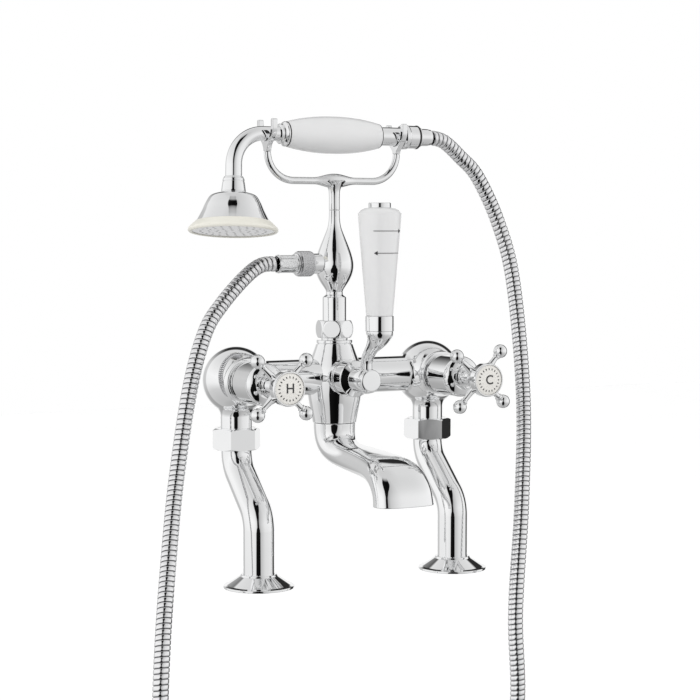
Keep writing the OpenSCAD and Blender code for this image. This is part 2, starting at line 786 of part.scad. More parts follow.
module arm_run(len) {
    translate([0, 0, -lap]) cylinder(d = arm_d, h = len + 2 * lap);
    translate([0, 0, len]) children();
}

// Hub, bent arm and cup of the lever, cast in one
module lever_arm() {
    hub_r = hub_d / 2;
    arm_y = body_setback - hub_face - hub_len + arm_d / 2 + 0.5;
    cup_y = body_setback - grip_reach;
    cup_z = valve_z + cup_rise;
    lean = arm_lean;
    slant = arm_slant;
    run_y = arm_y - cup_y - arm_bend_r * (1 + cos(lean) - 2 * cos(slant));
    run_z = cup_rise + 2 - arm_bend_r * (2 * sin(slant) - sin(lean));
    low_run = (run_z * sin(slant) - run_y * cos(slant)) / sin(slant - lean);
    high_run = (run_y * cos(lean) - run_z * sin(lean)) / sin(slant - lean);
    difference() {
        union() {
            at_centre_front() translate([0, 0, hub_face]) rotate_extrude() polygon(concat(
                [[0, 0]],
                smooth([[hub_r - 1, 0], [hub_r, 2], [hub_r, hub_len * 0.6], [hub_r - 1, hub_len * 0.86],
                    [cap_d / 2, hub_len]], 1.5),
                [[0, hub_len]]));
            translate([0, arm_y, valve_z]) rotate([lean, 0, 0])
                arm_run(low_run) arm_bend(slant - lean)
                    arm_run(high_run) mirror([0, 1, 0]) arm_bend(slant);
            translate([0, cup_y, cup_z]) rotate_extrude() polygon(concat(
                [[0, -2]],
                smooth([[arm_d / 2 + 0.6, -2], [cup_d / 2 - 2, 0.4],
                    [cup_d / 2 - 0.4, 2.6], [cup_d / 2, 5]], 1.5),
                [[cup_d / 2, cup_h], [0, cup_h]]));
        }
        at_centre_front() {
            cylinder(d = spindle_d + 2 * fit, h = cap_face + over);
            translate([0, 0, cap_face]) cylinder(d = cap_d + 4 * fit, h = cap_len + hub_d);
        }
        translate([0, cup_y, cup_z + cup_h - 8]) cylinder(d = lever_rod_d + 2 * fit, h = 8 + over);
    }
}

module lever_cap() {
    r = cap_d / 2;
    at_centre_front() translate([0, 0, cap_face]) rotate_extrude() polygon([
        [0, 0], [r, 0], [r, cap_len - 0.8], [r - 0.3, cap_len - 0.25], [r - 0.9, cap_len], [0, cap_len]]);
}

// Lever grip frame: its origin is on top of the cup
module at_grip() {
    translate([0, body_setback - grip_reach, valve_z + cup_rise + cup_h]) children();
}

module lever_rod() {
    at_grip() translate([0, 0, -8]) cylinder(d = lever_rod_d, h = 8 + lever_grip_len + finial_h * 0.5);
}

// Tapered ceramic grip with a rounded shoulder
module lever_grip() {
    foot_r = lever_grip_foot_d / 2;
    top_r = lever_grip_top_d / 2;
    shoulder = lever_grip_len - 10;
    at_grip() difference() {
        rotate_extrude() polygon(concat(
            [[0, 0], [foot_r, 0]],
            smooth([[foot_r, 0.2], [foot_r + (top_r - foot_r) * 0.48, shoulder * 0.5], [top_r, shoulder],
                [top_r - 1.2, shoulder + 4.6], [top_r - 4, shoulder + 8],
                [finial_d / 2, lever_grip_len]], 4),
            [[0, lever_grip_len]]));
        translate([0, 0, -over]) cylinder(d = lever_rod_d + 2 * fit, h = lever_grip_len + 2 * over);
    }
}

module lever_finial() {
    r = finial_d / 2;
    at_grip() translate([0, 0, lever_grip_len]) difference() {
        rotate_extrude() polygon([
            [0, 0], [r, 0], [r, finial_h * 0.4], [r * 0.9, finial_h * 0.75],
            [r * 0.6, finial_h], [0, finial_h]]);
        translate([0, 0, -over]) cylinder(d = lever_rod_d + 2 * fit, h = finial_h * 0.5 + fit + over);
    }
}

// Rounded section of the spout at share s of its length, inset by the wall
function spout_ring(p, t, s, inset) =
    let (start_r = spout_d / 2, waist_r = spout_waist / 2,
        a = lookup(s, [[0, start_r], [0.15, start_r - 0.5], [0.4, start_r - 2], [0.58, start_r],
            [0.76, mouth_w / 2 - 4], [0.9, mouth_w / 2 - 0.8], [1, mouth_w / 2]]) - inset,
        b = lookup(s, [[0, start_r], [0.12, start_r - 1], [0.3, (start_r + waist_r) / 2 - 1],
            [0.45, waist_r], [0.68, waist_r], [0.84, mouth_depth / 2 - 0.4], [1, mouth_depth / 2]]) - inset,
        power = 2 / (2 + 1.2 * s), u = [1, 0, 0], v = cross(t, u))
    [for (q = [0 : 15 : 345])
        p + a * sign(cos(q)) * pow(abs(cos(q)), power) * u
            + b * sign(sin(q)) * pow(abs(sin(q)), power) * v];

// Hollow cast spout that turns forward, widens and turns its mouth down
module spout() {
    y0 = body_setback;
    y1 = body_setback - mouth_reach;
    z1 = spout_z - mouth_drop;
    line = smooth([
        [0, y0, spout_z], [0, y0, spout_z - mouth_drop * 0.16],
        [0, y0 - mouth_reach * 0.043, spout_z - mouth_drop * 0.321],
        [0, y0 - mouth_reach * 0.162, spout_z - mouth_drop * 0.455],
        [0, y0 - mouth_reach * 0.42, spout_z - mouth_drop * 0.509],
        [0, y1 + mouth_reach * 0.323, spout_z - mouth_drop * 0.536],
        [0, y1 + mouth_reach * 0.128, spout_z - mouth_drop * 0.589],
        [0, y1 + mouth_reach * 0.03, z1 + mouth_drop * 0.214], [0, y1, z1]], 6);
    last = len(line) - 1;
    dirs = [for (i = [0 : last]) i == 0 || i == last ? [0, 0, -1] : tangent(line, i)];
    hollow_sweep(
        [for (i = [0 : last]) spout_ring(line[i], dirs[i], i / last, 0)],
        [for (i = [0 : last]) spout_ring(line[i], dirs[i], i / last, spout_wall)]);
}

// Hexagon nut whose faces are turned round
module riser_nut() {
    ball_r = norm([riser_nut_af / 2, riser_nut_h / 2]);
    translate([0, body_setback, riser_seat_z]) difference() {
        rotate([0, 0, riser_nut_turn]) intersection() {
            cylinder(d = riser_nut_af / cos(30), h = riser_nut_h, $fn = 6);
            translate([0, 0, riser_nut_h / 2]) sphere(r = ball_r);
        }
        translate([0, 0, -over]) cylinder(d = riser_thread_d, h = riser_thread_h + riser_collar_h + over);
        cylinder(d = column_d + 2 * fit, h = riser_nut_h + over);
    }
}

module riser_column() {
    r = column_d / 2;
    neck_r = riser_neck_d / 2;
    foot = riser_thread_h;
    top = riser_nut_h + column_len;
    translate([0, body_setback, riser_seat_z]) difference() {
        rotate_extrude() polygon([
            [0, foot], [riser_thread_d / 2 - fit, foot],
            [riser_thread_d / 2 - fit, foot + riser_collar_h - fit],
            [r, foot + riser_collar_h - fit], [r, top], [neck_r + 0.6, top + riser_neck_h * 0.7],
            [neck_r, top + riser_neck_h], [riser_bore / 2 + 1, top + riser_neck_h],
            [riser_bore / 2 + 1, top + riser_neck_h + spigot_len], [0, top + riser_neck_h + spigot_len]]);
        translate([0, 0, foot - over]) cylinder(d = riser_bore, h = top + column_len);
    }
}

// Hollow vase of the riser with the hose outlet on its hot side
module vase() {
    r = vase_d / 2;
    neck_r = riser_neck_d / 2;
    stem_r = stem_d / 2;
    translate([0, body_setback, vase_z]) difference() {
        union() {
            rotate_extrude() polygon(concat(
                [[0, 0]],
                smooth([[neck_r, 0], [neck_r + 0.2, 2], [r * 0.79, 10], [r * 0.97, 17], [r, outlet_rise],
                    [r * 0.88, vase_h * 0.463], [r * 0.75, vase_h * 0.568],
                    [r * 0.57, vase_h * 0.676], [stem_r * 1.36, vase_h * 0.794], [stem_r, vase_h]], 3),
                [[0, vase_h]]));
            translate([0, 0, outlet_rise]) rotate([0, -90, 0]) {
                cylinder(d = outlet_stub_d, h = outlet_stub);
                cylinder(d = hose_thread_d - 2 * fit,
                    h = outlet_stub + outlet_nut_len - hose_lip_h - hose_collar_h - fit);
            }
        }
        translate([0, 0, -over]) cylinder(d = riser_bore + 2 + 2 * fit, h = spigot_len + over);
        cylinder(d = riser_bore, h = outlet_rise + riser_bore / 2);
        translate([0, 0, outlet_rise]) rotate([0, -90, 0])
            cylinder(d = hose_bore, h = outlet_stub + outlet_nut_len);
        translate([0, 0, vase_h - spigot_len]) cylinder(d = stem_d / 2 + 2 * fit, h = spigot_len + over);
    }
}

// Solid cradle: stem, bar with its swelling and two arms that turn up to the forks
module cradle() {
    bar_r = cradle_bar_d / 2;
    stem_r = stem_d / 2;
    rise = bar_z - cradle_z;
    swell = 13;
    left = fork_x[0] + cradle_bend_r;
    right = fork_x[1] - cradle_bend_r;
    translate([0, body_setback, cradle_z]) {
        rotate_extrude() polygon(concat(
            [[0, 0]],
            smooth([[stem_r, 0], [stem_r, rise * 0.55], [stem_r + 1, rise * 0.8], [stem_r + 2.4, rise]], 2),
            [[0, rise]]));
        translate([0, 0, -spigot_len + fit]) cylinder(d = stem_d / 2, h = spigot_len);
    }
    translate([0, body_setback, bar_z]) {
        along_x(left) cylinder(r = bar_r, h = right - left);
        along_x(0) rotate_extrude() polygon(concat(
            [[0, -swell]],
            smooth([[bar_r, -swell], [bar_r + 0.8, -swell * 0.7], [bar_r + 3.2, 0],
                [bar_r + 0.8, swell * 0.7], [bar_r, swell]], 2),
            [[0, swell]]));
        translate([left, 0, cradle_bend_r]) rotate([90, 0, 0]) rotate([0, 0, 180])
            rotate_extrude(angle = 90) translate([cradle_bend_r, 0]) circle(r = bar_r);
        translate([right, 0, cradle_bend_r]) rotate([90, 0, 0]) rotate([0, 0, -90])
            rotate_extrude(angle = 90) translate([cradle_bend_r, 0]) circle(r = bar_r);
    }
}

// Fork that holds a handset tube of radius seat_r between two prongs
module fork(x, seat_r, rise) {
    gap_r = fork_r - prong_t;
    gap_y = gap_r - seat_r - rest_gap;
    tip_y = rise - prong_t / 2;
    translate([x, body_setback, handset_z]) rotate([90, 0, 90])
        linear_extrude(fork_w, center = true) difference() {
            union() {
                circle(r = fork_r);
                for (s = [-1, 1]) {
                    translate([s * (fork_r - prong_t / 2) - prong_t / 2, 0]) square([prong_t, tip_y]);
                    translate([s * (fork_r - prong_t / 2), tip_y]) circle(d = prong_t);
                }
            }
            translate([0, gap_y]) circle(r = gap_r);
            translate([-gap_r, gap_y]) square([2 * gap_r, fork_r + rise]);
            translate([-fork_r, -2 * fork_r + fork_flat]) square([2 * fork_r, fork_r]);
        }
}

// Swivel nut around a hose thread, with a lip at its far end
module hose_nut(len, foot_r) {
    difference() {
        rotate_extrude() polygon([
            [0, 0], [hose_nut_d / 2 - 0.6, 0], [hose_nut_d / 2, 0.8], [foot_r, len - 0.8],
            [foot_r - 0.6, len], [0, len]]);
        translate([0, 0, -over]) cylinder(d = hose_thread_d, h = len - hose_lip_h + over);
        cylinder(d = hose_d + 2 * fit, h = len + over);
    }
}

module outlet_nut() {
    translate([0, body_setback, outlet_z]) rotate([0, -90, 0]) translate([0, 0, outlet_stub])
        hose_nut(outlet_nut_len, hose_nut_d / 2);
}

module handset_nut() {
    at_handset() along_x(sleeve_x1) hose_nut(handset_nut_len, hose_nut_d / 2 - 0.6);
}

// Ferrule that clamps the hose: its collar sits on the nut's lip, its skirt shows outside
module ferrule(nut_len, skirt) {
    collar_foot = nut_len - hose_lip_h - hose_collar_h;
    difference() {
        rotate_extrude() polygon(concat(
            [[0, collar_foot], [hose_thread_d / 2 - fit, collar_foot],
                [hose_thread_d / 2 - fit, nut_len - hose_lip_h],
                [hose_d / 2, nut_len - hose_lip_h], [hose_d / 2, nut_len]],
            skirt));
        cylinder(d = hose_bore, h = nut_len * 4);
    }
}

module outlet_ferrule() {
    n = outlet_nut_len;
    r = hose_d / 2 + 0.8;
    translate([0, body_setback, outlet_z]) rotate([0, -90, 0]) translate([0, 0, outlet_stub])
        ferrule(n, [
            [r + 1, n], [r + 1, n + 1.2], [r - 0.6, n + 1.6], [r - 0.6, n + 2.8], [r, n + 3.3],
            [r, n + outlet_ferrule_len - 0.6], [r - 0.6, n + outlet_ferrule_len],
            [0, n + outlet_ferrule_len]]);
}

module handset_ferrule() {
    n = handset_nut_len;
    r = hose_d / 2;
    at_handset() along_x(sleeve_x1) ferrule(n, [
        [r + 2.1, n], [r + 2.1, n + 2], [r + 0.2, n + handset_ferrule_len - 1],
        [r + 0.1, n + handset_ferrule_len], [0, n + handset_ferrule_len]]);
}

// Ribbed metal hose with its bore, square to both ferrules
module shower_hose() {
    line = concat(
        [[outlet_hose_x, body_setback, outlet_z]],
        smooth(hose_route, rib_pitch / 2),
        [[handset_hose_x, body_setback, handset_z]]);
    last = len(line) - 1;
    dirs = [for (i = [0 : last]) i == 0 ? [-1, 0, 0] : i == last ? [-1, 0, 0] : tangent(line, i)];
    outer_r = hose_d / (1 + cos(22.5));
    rings = [for (i = [0 : last])
        let (t = dirs[i], u = unit(cross([0, 1, 0], t)), v = cross(t, u))
            [for (a = [0 : 45 : 315]) cos(a) * u + sin(a) * v]];
    bore_rings = [for (i = 0; i < last; i = i + 8) i];
    hollow_sweep(
        [for (i = [0 : last]) [for (w = rings[i]) line[i] + (outer_r - rib_depth * (i % 2)) * w]],
        [for (i = concat(bore_rings, [last])) [for (w = rings[i]) line[i] + hose_bore / 2 * w]]);
}

// Sleeve behind the grip with the inner tube that carries the grip
module handset_tail() {
    tube_x = grip_x0 - ring_len / 2;
    at_handset() difference() {
        union() {
            along_x(grip_x1) cylinder(d = sleeve_d, h = sleeve_len);
            along_x(sleeve_x1) cylinder(d = hose_thread_d - 2 * fit,
                h = handset_nut_len - hose_lip_h - hose_collar_h - fit);
            along_x(tube_x) cylinder(d = neck_d, h = grip_x1 - tube_x + over);
        }
        along_x(tube_x - over) cylinder(d = neck_bore, h = tap_centres);
    }
}

// Barrel-shaped ceramic grip
module handset_grip() {
    end_r = grip_end_d / 2;
    r = grip_d / 2;
    at_handset() along_x(grip_x0) difference() {
        rotate_extrude() polygon(concat(
            [[0, 0]],
            smooth([for (s = [-1 : 0.2 : 1]) [end_r + (r - end_r) * (1 - pow(abs(s), 2.2)),
                grip_len / 2 * (1 + s)]], 4),
            [[0, grip_len]]));
        translate([0, 0, -over]) cylinder(d = neck_d + 2 * fit, h = grip_len + 2 * over);
    }
}

// Dished ring between the grip and the neck
module grip_ring() {
    r = grip_end_d / 2;
    at_handset() along_x(grip_x0 - ring_len) difference() {
        rotate_extrude() polygon([
            [0, 0], [r - 2.6, 0], [r - 2, 0.6], [r - 2, 1.6], [r - 3, 2.4], [r - 1, ring_len - 2.6],
            [r, ring_len - 2], [r, ring_len - 0.6], [r - 0.5, ring_len], [0, ring_len]]);
        translate([0, 0, -over]) cylinder(d = neck_d + 2 * fit, h = ring_len + 2 * over);
    }
}

// Neck frame: its origin is at the lower end of the neck tube and its z axis points up the tube
module at_rose() {
    at_handset()
        translate([neck_bend_x - neck_bend_r * sin(neck_bend_angle), 0,
            -neck_bend_r * (1 - cos(neck_bend_angle))])
            rotate([0, 90 - neck_bend_angle, 0]) translate([0, 0, -neck_drop]) children();
}

// Swan neck from the grip ring to the rose nut
module handset_neck() {
    start = grip_x0 - ring_len / 2 - fit;
    seat = rose_nut_h * 0.7;
    at_handset() {
        along_x(neck_bend_x - lap) ring(neck_d, neck_bore, start - neck_bend_x + lap);
        translate([neck_bend_x, 0, -neck_bend_r]) rotate([90, 0, 0]) rotate([0, 0, 90])
            tube_bend(neck_bend_r, neck_bend_angle, neck_d, neck_bore);
    }
    at_rose() translate([0, 0, -seat]) ring(neck_d, neck_bore, neck_drop + seat + lap);
}

module rose_nut() {
    r = rose_nut_d / 2;
    at_rose() translate([0, 0, -rose_nut_h]) difference() {
        rotate_extrude() polygon([
            [0, 0], [r - 0.6, 0], [r, 0.8], [r - 0.9, rose_nut_h * 0.6], [r - 1.5, rose_nut_h * 0.66],
            [r - 1.7, rose_nut_h * 0.86], [r - 3, rose_nut_h], [0, rose_nut_h]]);
        translate([0, 0, rose_nut_h * 0.3 - fit]) cylinder(d = neck_d + 2 * fit, h = rose_nut_h);
        translate([0, 0, -over]) cylinder(d = neck_bore, h = rose_nut_h);
    }
}

// Half profile of the bell's outside from its top to its mouth
function bell_line(inset) = smooth([
    [rose_nut_d / 2 + 1.6 - inset, 0], [rose_nut_d / 2 + 6 - inset, -bell_h * 0.09],
    [bell_d * 0.345 - inset, -bell_h * 0.3], [bell_d * 0.39 - inset, -bell_h * 0.58],
    [bell_d * 0.44 - inset, -bell_h * 0.84], [bell_d / 2 - inset, -bell_h]], 3);

module rose_bell() {
    at_rose() translate([0, 0, -rose_nut_h]) difference() {
        rotate_extrude() polygon(concat([[0, 0]], bell_line(0), [[0, -bell_h]]));
        translate([0, 0, -bell_wall]) rotate_extrude()
            polygon(concat([[0, 0]], bell_line(bell_wall),
                [[bell_d / 2 - bell_wall, -bell_h - over], [0, -bell_h - over]]));
        translate([0, 0, -bell_h]) cylinder(d = neck_bore, h = bell_h + over);
    }
}

// Ivory rim below the bell that holds the spray face
module rose_rim() {
    r = rim_d / 2;
    bell_r = bell_d / 2;
    at_rose() translate([0, 0, -rose_nut_h - bell_h]) difference() {
        rotate_extrude() polygon(concat(
            [[0, 0], [bell_r, 0]],
            smooth([[bell_r + 0.6, -0.6], [bell_r + 3.4, -rim_h * 0.36], [r - 0.4, -rim_h * 0.66],
                [r, -rim_h * 0.78], [r - 0.8, -rim_h * 0.92], [r - 2.4, -rim_h]], 2),
            [[0, -rim_h]]));
        translate([0, 0, -rim_h - over]) cylinder(d = face_d + 2 * fit, h = face_h + face_recess + over);
        translate([0, 0, -rim_h - over]) cylinder(d = bell_d - 4 * bell_wall, h = rim_h + 2 * over);
    }
}

// Perforated spray face, recessed in the rim
module rose_face() {
    at_rose() translate([0, 0, -rose_nut_h - bell_h - rim_h + face_recess]) difference() {
        cylinder(d = face_d, h = face_h);
        for (row = [1 : 4]) for (k = [0 : 6 * row - 1])
            rotate([0, 0, k * 60 / row]) translate([row * face_d / 10, 0, -over])
                cylinder(d = spray_hole_d, h = face_h + 2 * over, $fn = 24);
    }
}

chrome = "silver";
brass = "goldenrod";
ceramic = "white";

color(chrome) foot(HOT);  // hot_foot
color(chrome) foot(COLD);  // cold_foot
color(chrome) leg(HOT);  // hot_leg
color(chrome) leg(COLD);  // cold_leg
color(chrome) union_nut(HOT, union_nut_turn[0]);  // hot_union_nut
color(chrome) union_nut(COLD, union_nut_turn[1]);  // cold_union_nut
color("dimgray") union_washer(HOT);  // hot_union_washer
color("dimgray") union_washer(COLD);  // cold_union_washer
color(chrome) valve_body(HOT);  // hot_valve_body
color(chrome) valve_body(COLD);  // cold_valve_body
color(chrome) crossbar(HOT);  // hot_crossbar
color(chrome) crossbar(COLD);  // cold_crossbar
color(brass) cartridge(HOT);  // hot_cartridge
color(brass) cartridge(COLD);  // cold_cartridge
color(ceramic)  // hot_fixed_disc
    at_valve(HOT) ported_disc(disc_d, disc_face, 0);
color(ceramic)  // cold_fixed_disc
    at_valve(COLD) ported_disc(disc_d, disc_face, 0);
color(chrome) shroud(HOT);  // hot_shroud
color(chrome) shroud(COLD);  // cold_shroud
color(brass) spindle(HOT);  // hot_spindle
color(brass) spindle(COLD);  // cold_spindle
color(ceramic) at_valve(HOT) ported_disc(disc_d - 0.4, disc_face + disc_h, 90);  // hot_moving_disc
color(ceramic) at_valve(COLD) ported_disc(disc_d - 0.4, disc_face + disc_h, 90);  // cold_moving_disc
color(chrome) handle(HOT);  // hot_handle
color(chrome) handle(COLD);  // cold_handle
color(ceramic) index(HOT);  // hot_index
color(ceramic) index(COLD);  // cold_index
color(chrome) centre_body();
color(brass) diverter_cartridge();
color(chrome) diverter_bonnet();
color(brass) diverter_spindle();
color(ceramic) at_centre_front() ported_disc(diverter_disc_d - 0.4, diverter_pocket + disc_h, 45);  // diverter_disc
color(chrome) lever_arm();
color(chrome) lever_cap();
color(brass) lever_rod();
color(ceramic) lever_grip();
color(chrome) lever_finial();
color(chrome) spout();
color(chrome) riser_nut();
color(chrome) riser_column();
color(chrome) vase();
color(chrome) cradle();
color(chrome) fork(fork_x[0], neck_d / 2, prong_rise[0]);  // front_fork
color(chrome) fork(fork_x[1], sleeve_d / 2, prong_rise[1]);  // rear_fork
color(chrome) outlet_nut();
color(chrome) outlet_ferrule();
color("lightgray") shower_hose();
color(chrome) handset_ferrule();
color(chrome) handset_nut();
color(chrome) handset_tail();
color(ceramic) handset_grip();
color(chrome) grip_ring();
color(chrome) handset_neck();
color(chrome) rose_nut();
color(chrome) rose_bell();
color("ivory") rose_rim();
color(chrome) rose_face();
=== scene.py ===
import math

import bpy
import numpy as np
from mathutils import Matrix, Vector


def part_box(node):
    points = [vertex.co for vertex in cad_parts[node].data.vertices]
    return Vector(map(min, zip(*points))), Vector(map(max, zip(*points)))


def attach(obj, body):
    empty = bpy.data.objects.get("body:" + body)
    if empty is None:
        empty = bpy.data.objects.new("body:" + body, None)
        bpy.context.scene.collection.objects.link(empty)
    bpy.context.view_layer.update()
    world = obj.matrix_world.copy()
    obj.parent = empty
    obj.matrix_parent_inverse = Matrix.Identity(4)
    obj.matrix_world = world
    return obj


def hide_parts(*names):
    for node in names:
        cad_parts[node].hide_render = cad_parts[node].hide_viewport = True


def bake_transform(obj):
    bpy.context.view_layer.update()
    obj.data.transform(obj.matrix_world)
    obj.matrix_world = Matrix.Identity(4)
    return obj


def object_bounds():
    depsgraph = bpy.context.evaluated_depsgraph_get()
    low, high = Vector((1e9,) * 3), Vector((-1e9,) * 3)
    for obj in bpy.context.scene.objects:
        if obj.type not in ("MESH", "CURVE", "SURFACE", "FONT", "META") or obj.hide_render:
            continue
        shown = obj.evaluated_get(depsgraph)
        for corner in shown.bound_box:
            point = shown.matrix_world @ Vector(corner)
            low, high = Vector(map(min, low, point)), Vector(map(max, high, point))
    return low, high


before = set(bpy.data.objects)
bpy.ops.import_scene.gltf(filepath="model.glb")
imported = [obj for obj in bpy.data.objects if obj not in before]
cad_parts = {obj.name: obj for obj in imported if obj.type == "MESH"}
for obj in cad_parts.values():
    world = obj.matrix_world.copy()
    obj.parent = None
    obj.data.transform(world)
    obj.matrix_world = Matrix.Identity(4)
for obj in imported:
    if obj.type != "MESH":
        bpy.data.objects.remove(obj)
cad_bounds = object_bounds()

# Camera: a long lens a little above the valve axis, in front of the bath and off to the hot side.
# The shapes below are written in millimetres, as they are made, and put into the scene in metres.
MM = 0.001
CAMERA_PLACE = Vector((-724.39, -1348.08, 285.39)) * MM
CAMERA_TARGET = Vector((-7.6, 0, 187.27)) * MM
CAMERA_LENS = 96.765
SENSOR_WIDTH = 36


def aimed(place):
    """Turn of a camera or lamp at a place, so that it looks at the mixer."""
    return (CAMERA_TARGET - place).to_track_quat("-Z", "Y").to_euler()


bpy.ops.object.camera_add(location=CAMERA_PLACE, rotation=aimed(CAMERA_PLACE))
camera = bpy.context.object
camera.name = "photo_camera"
camera.data.lens = CAMERA_LENS
camera.data.sensor_width = SENSOR_WIDTH
bpy.context.scene.camera = camera
bpy.context.scene.view_settings.view_transform = "Standard"


# Studio: a white tent of soft light. Metal shows its white walls, the dark gap that the lens looks
# through and the dark edges of the backdrop behind the mixer.
# Light on unpolished surfaces, from the front and what the side walls add
TENT_LIGHT = 0.38
SIDE_LIGHT = 1.5
# Level of the walls, by degrees to the right of the lens
WALL_LEVELS = [(-150, 0.97), (-40, 1.0), (-22, 0.94), (-8, 0.72), (8, 0.4), (20, 0.62), (50, 0.86),
               (110, 0.97)]
# Level from straight down (0) to straight up (1)
HEIGHT_LEVELS = [(0.0, 0.5), (0.3, 0.66), (0.44, 0.94), (0.6, 1.0), (0.8, 0.85), (1.0, 0.72)]
# Half of the gap's angle in radians, from low directions to high ones, and where it starts and ends
GAP_SHAPE = [(0.34, 0.38), (0.44, 0.215), (0.475, 0.20), (0.5, 0.165), (0.53, 0.11), (0.65, 0.10),
             (0.8, 0.22), (0.92, 0.5)]
GAP_HEIGHTS = [(0.02, 0), (0.06, 1), (0.955, 1), (0.985, 0)]
GAP_BLUR = 0.03
GAP_LEVEL = 0.01
POLE_LEVEL = 0.9
# Share of white from the lens round to the backdrop, where a tilted dark ring of flags stands. The ring
# fades out along a slanted line toward the lower left.
FLAG_RING = [(0.50, 1), (0.58, 0.03), (0.86, 0.03), (0.90, 1)]
FLAG_TILT = -0.137
FADE_SLANT = 0.7
FADE_START = -0.35
FADE_END = 0.15
FADE_LEAST = 0.35
KEY_PLACE = Vector((-1.1, -1.3, 1.5))
KEY_SIZE = 1.2
KEY_POWER = 12


def add_node(tree, kind, inputs=None, **settings):
    """One shader node, with its settings and with values or links on its inputs."""
    node = tree.nodes.new("ShaderNode" + kind)
    for key, value in settings.items():
        setattr(node, key, value)
    for key, value in (inputs or {}).items():
        if isinstance(value, bpy.types.NodeSocket):
            tree.links.new(value, node.inputs[key])
        else:
            node.inputs[key].default_value = value
    return node


def add_ramp(tree, factor, stops):
    """Grey ramp through stops of (place, level)."""
    node = add_node(tree, "ValToRGB", {"Fac": factor})
    elements = node.color_ramp.elements
    while len(elements) < len(stops):
        elements.new(0.5)
    for element, (place, level) in zip(elements, stops):
        element.position = place
        element.color = (level, level, level, 1)
    return node.outputs["Color"]


def add_math(tree, operation, *values):
    """Result of a calculation with values or links."""
    return add_node(tree, "Math", dict(enumerate(values)), operation=operation).outputs[0]


def add_mix(tree, share, a, b, kind="FLOAT"):
    """Mixture of two values, colours or links."""
    return add_node(tree, "Mix", {"Factor": share, "A": a, "B": b}, data_type=kind).outputs["Result"]


def add_range(tree, value, start, end, least=0.0, most=1.0):
    """A link's range between start and end, mapped onto another range."""
    return add_node(tree, "MapRange", {"Value": value, "From Min": start, "From Max": end,
                                       "To Min": least, "To Max": most}).outputs["Result"]


studio = bpy.data.worlds.new("studio_tent")
bpy.context.scene.world = studio
studio.use_nodes = True
tent = studio.node_tree
tent.nodes.clear()
lens_turn = math.atan2(CAMERA_PLACE.y - CAMERA_TARGET.y, CAMERA_PLACE.x - CAMERA_TARGET.x)
direction = add_node(tent, "TexCoord").outputs["Generated"]
from_lens = add_node(tent, "Mapping", {"Vector": direction, "Rotation": (0, 0, -lens_turn)})
toward, right, up = add_node(tent, "SeparateXYZ", {"Vector": from_lens.outputs["Vector"]}).outputs
height = add_range(tent, up, -1, 1)
turn = add_math(tent, "ARCTAN2", right, toward)
walls = add_ramp(tent, add_range(tent, turn, -math.pi, math.pi),
                 [(0.5 + degrees / 360, level) for degrees, level in WALL_LEVELS])
gap_edge = add_ramp(tent, height, GAP_SHAPE)
gap_end = add_math(tent, "ADD", gap_edge, GAP_BLUR)
gap = add_range(tent, add_math(tent, "ABSOLUTE", turn), gap_edge, gap_end, GAP_LEVEL)
gap_reach = add_ramp(tent, height, GAP_HEIGHTS)
walls_seen = add_mix(tent, gap_reach, POLE_LEVEL, add_math(tent, "MULTIPLY", walls, gap))
away = add_math(tent, "MULTIPLY", toward, -1)
flags = add_ramp(tent, add_math(tent, "MULTIPLY_ADD", up, FLAG_TILT, away), FLAG_RING)
flag_side = add_math(tent, "MULTIPLY_ADD", up, FADE_SLANT, right)
flag_share = add_range(tent, flag_side, FADE_START, FADE_END, FADE_LEAST)
flags_seen = add_mix(tent, flag_share, 1.0, flags)
heights = add_ramp(tent, height, HEIGHT_LEVELS)
tent_level = add_math(tent, "MULTIPLY", add_math(tent, "MULTIPLY", walls_seen, flags_seen), heights)
ray = add_node(tent, "LightPath").outputs
shown_to_metal = add_math(tent, "MAXIMUM", ray["Is Glossy Ray"], ray["Is Transmission Ray"])
sideways = add_math(tent, "MULTIPLY", right, right)
soft_level = add_math(tent, "MULTIPLY_ADD", sideways, SIDE_LIGHT, TENT_LIGHT)
soft_or_metal = add_mix(tent, shown_to_metal, soft_level, tent_level)
level = add_mix(tent, ray["Is Camera Ray"], soft_or_metal, 1.0)
sky = add_node(tent, "Background", {"Color": (1, 1, 1, 1), "Strength": level})
add_node(tent, "OutputWorld", {"Surface": sky.outputs["Background"]})

bpy.ops.object.light_add(type="AREA", location=KEY_PLACE, rotation=aimed(KEY_PLACE))
key_light = bpy.context.object
key_light.name = "key_softbox"
key_light.data.size = KEY_SIZE
key_light.data.energy = KEY_POWER
key_light.visible_glossy = False


# Floor: a pale painted board below the hose loop, plain and a little uneven in tone. It lies
# loose in the tent and isn't part of the mixer.
FLOOR_SIZE = 9
FLOOR_DROP = 2
FLOOR_TONES = [(0.3, 0.86), (0.7, 0.88)]
FLOOR_LIFT = 0.34

bpy.ops.mesh.primitive_plane_add(size=FLOOR_SIZE, location=(0, 0, cad_bounds[0][2] - FLOOR_DROP * MM))
floor = bpy.context.object
floor.name = "studio_floor"
floor.visible_glossy = False
paint = bpy.data.materials.new("floor_paint")
paint.use_nodes = True
board = paint.node_tree
board.nodes.clear()
floor_place = add_node(board, "TexCoord").outputs["Object"]
floor_spots = add_node(board, "TexNoise", {"Vector": floor_place, "Scale": 3.0, "Detail": 2.0})
floor_tone = add_ramp(board, floor_spots.outputs["Fac"], FLOOR_TONES)
floor_paint = add_node(board, "BsdfDiffuse", {"Color": floor_tone})
floor_ray = add_node(board, "LightPath").outputs["Is Camera Ray"]
floor_lift = add_node(board, "Emission", {"Strength": add_math(board, "MULTIPLY", floor_ray, FLOOR_LIFT)})
floor_sum = add_node(board, "AddShader", {0: floor_paint.outputs[0], 1: floor_lift.outputs[0]})
add_node(board, "OutputMaterial", {"Surface": floor_sum.outputs[0]})
floor.data.materials.append(paint)


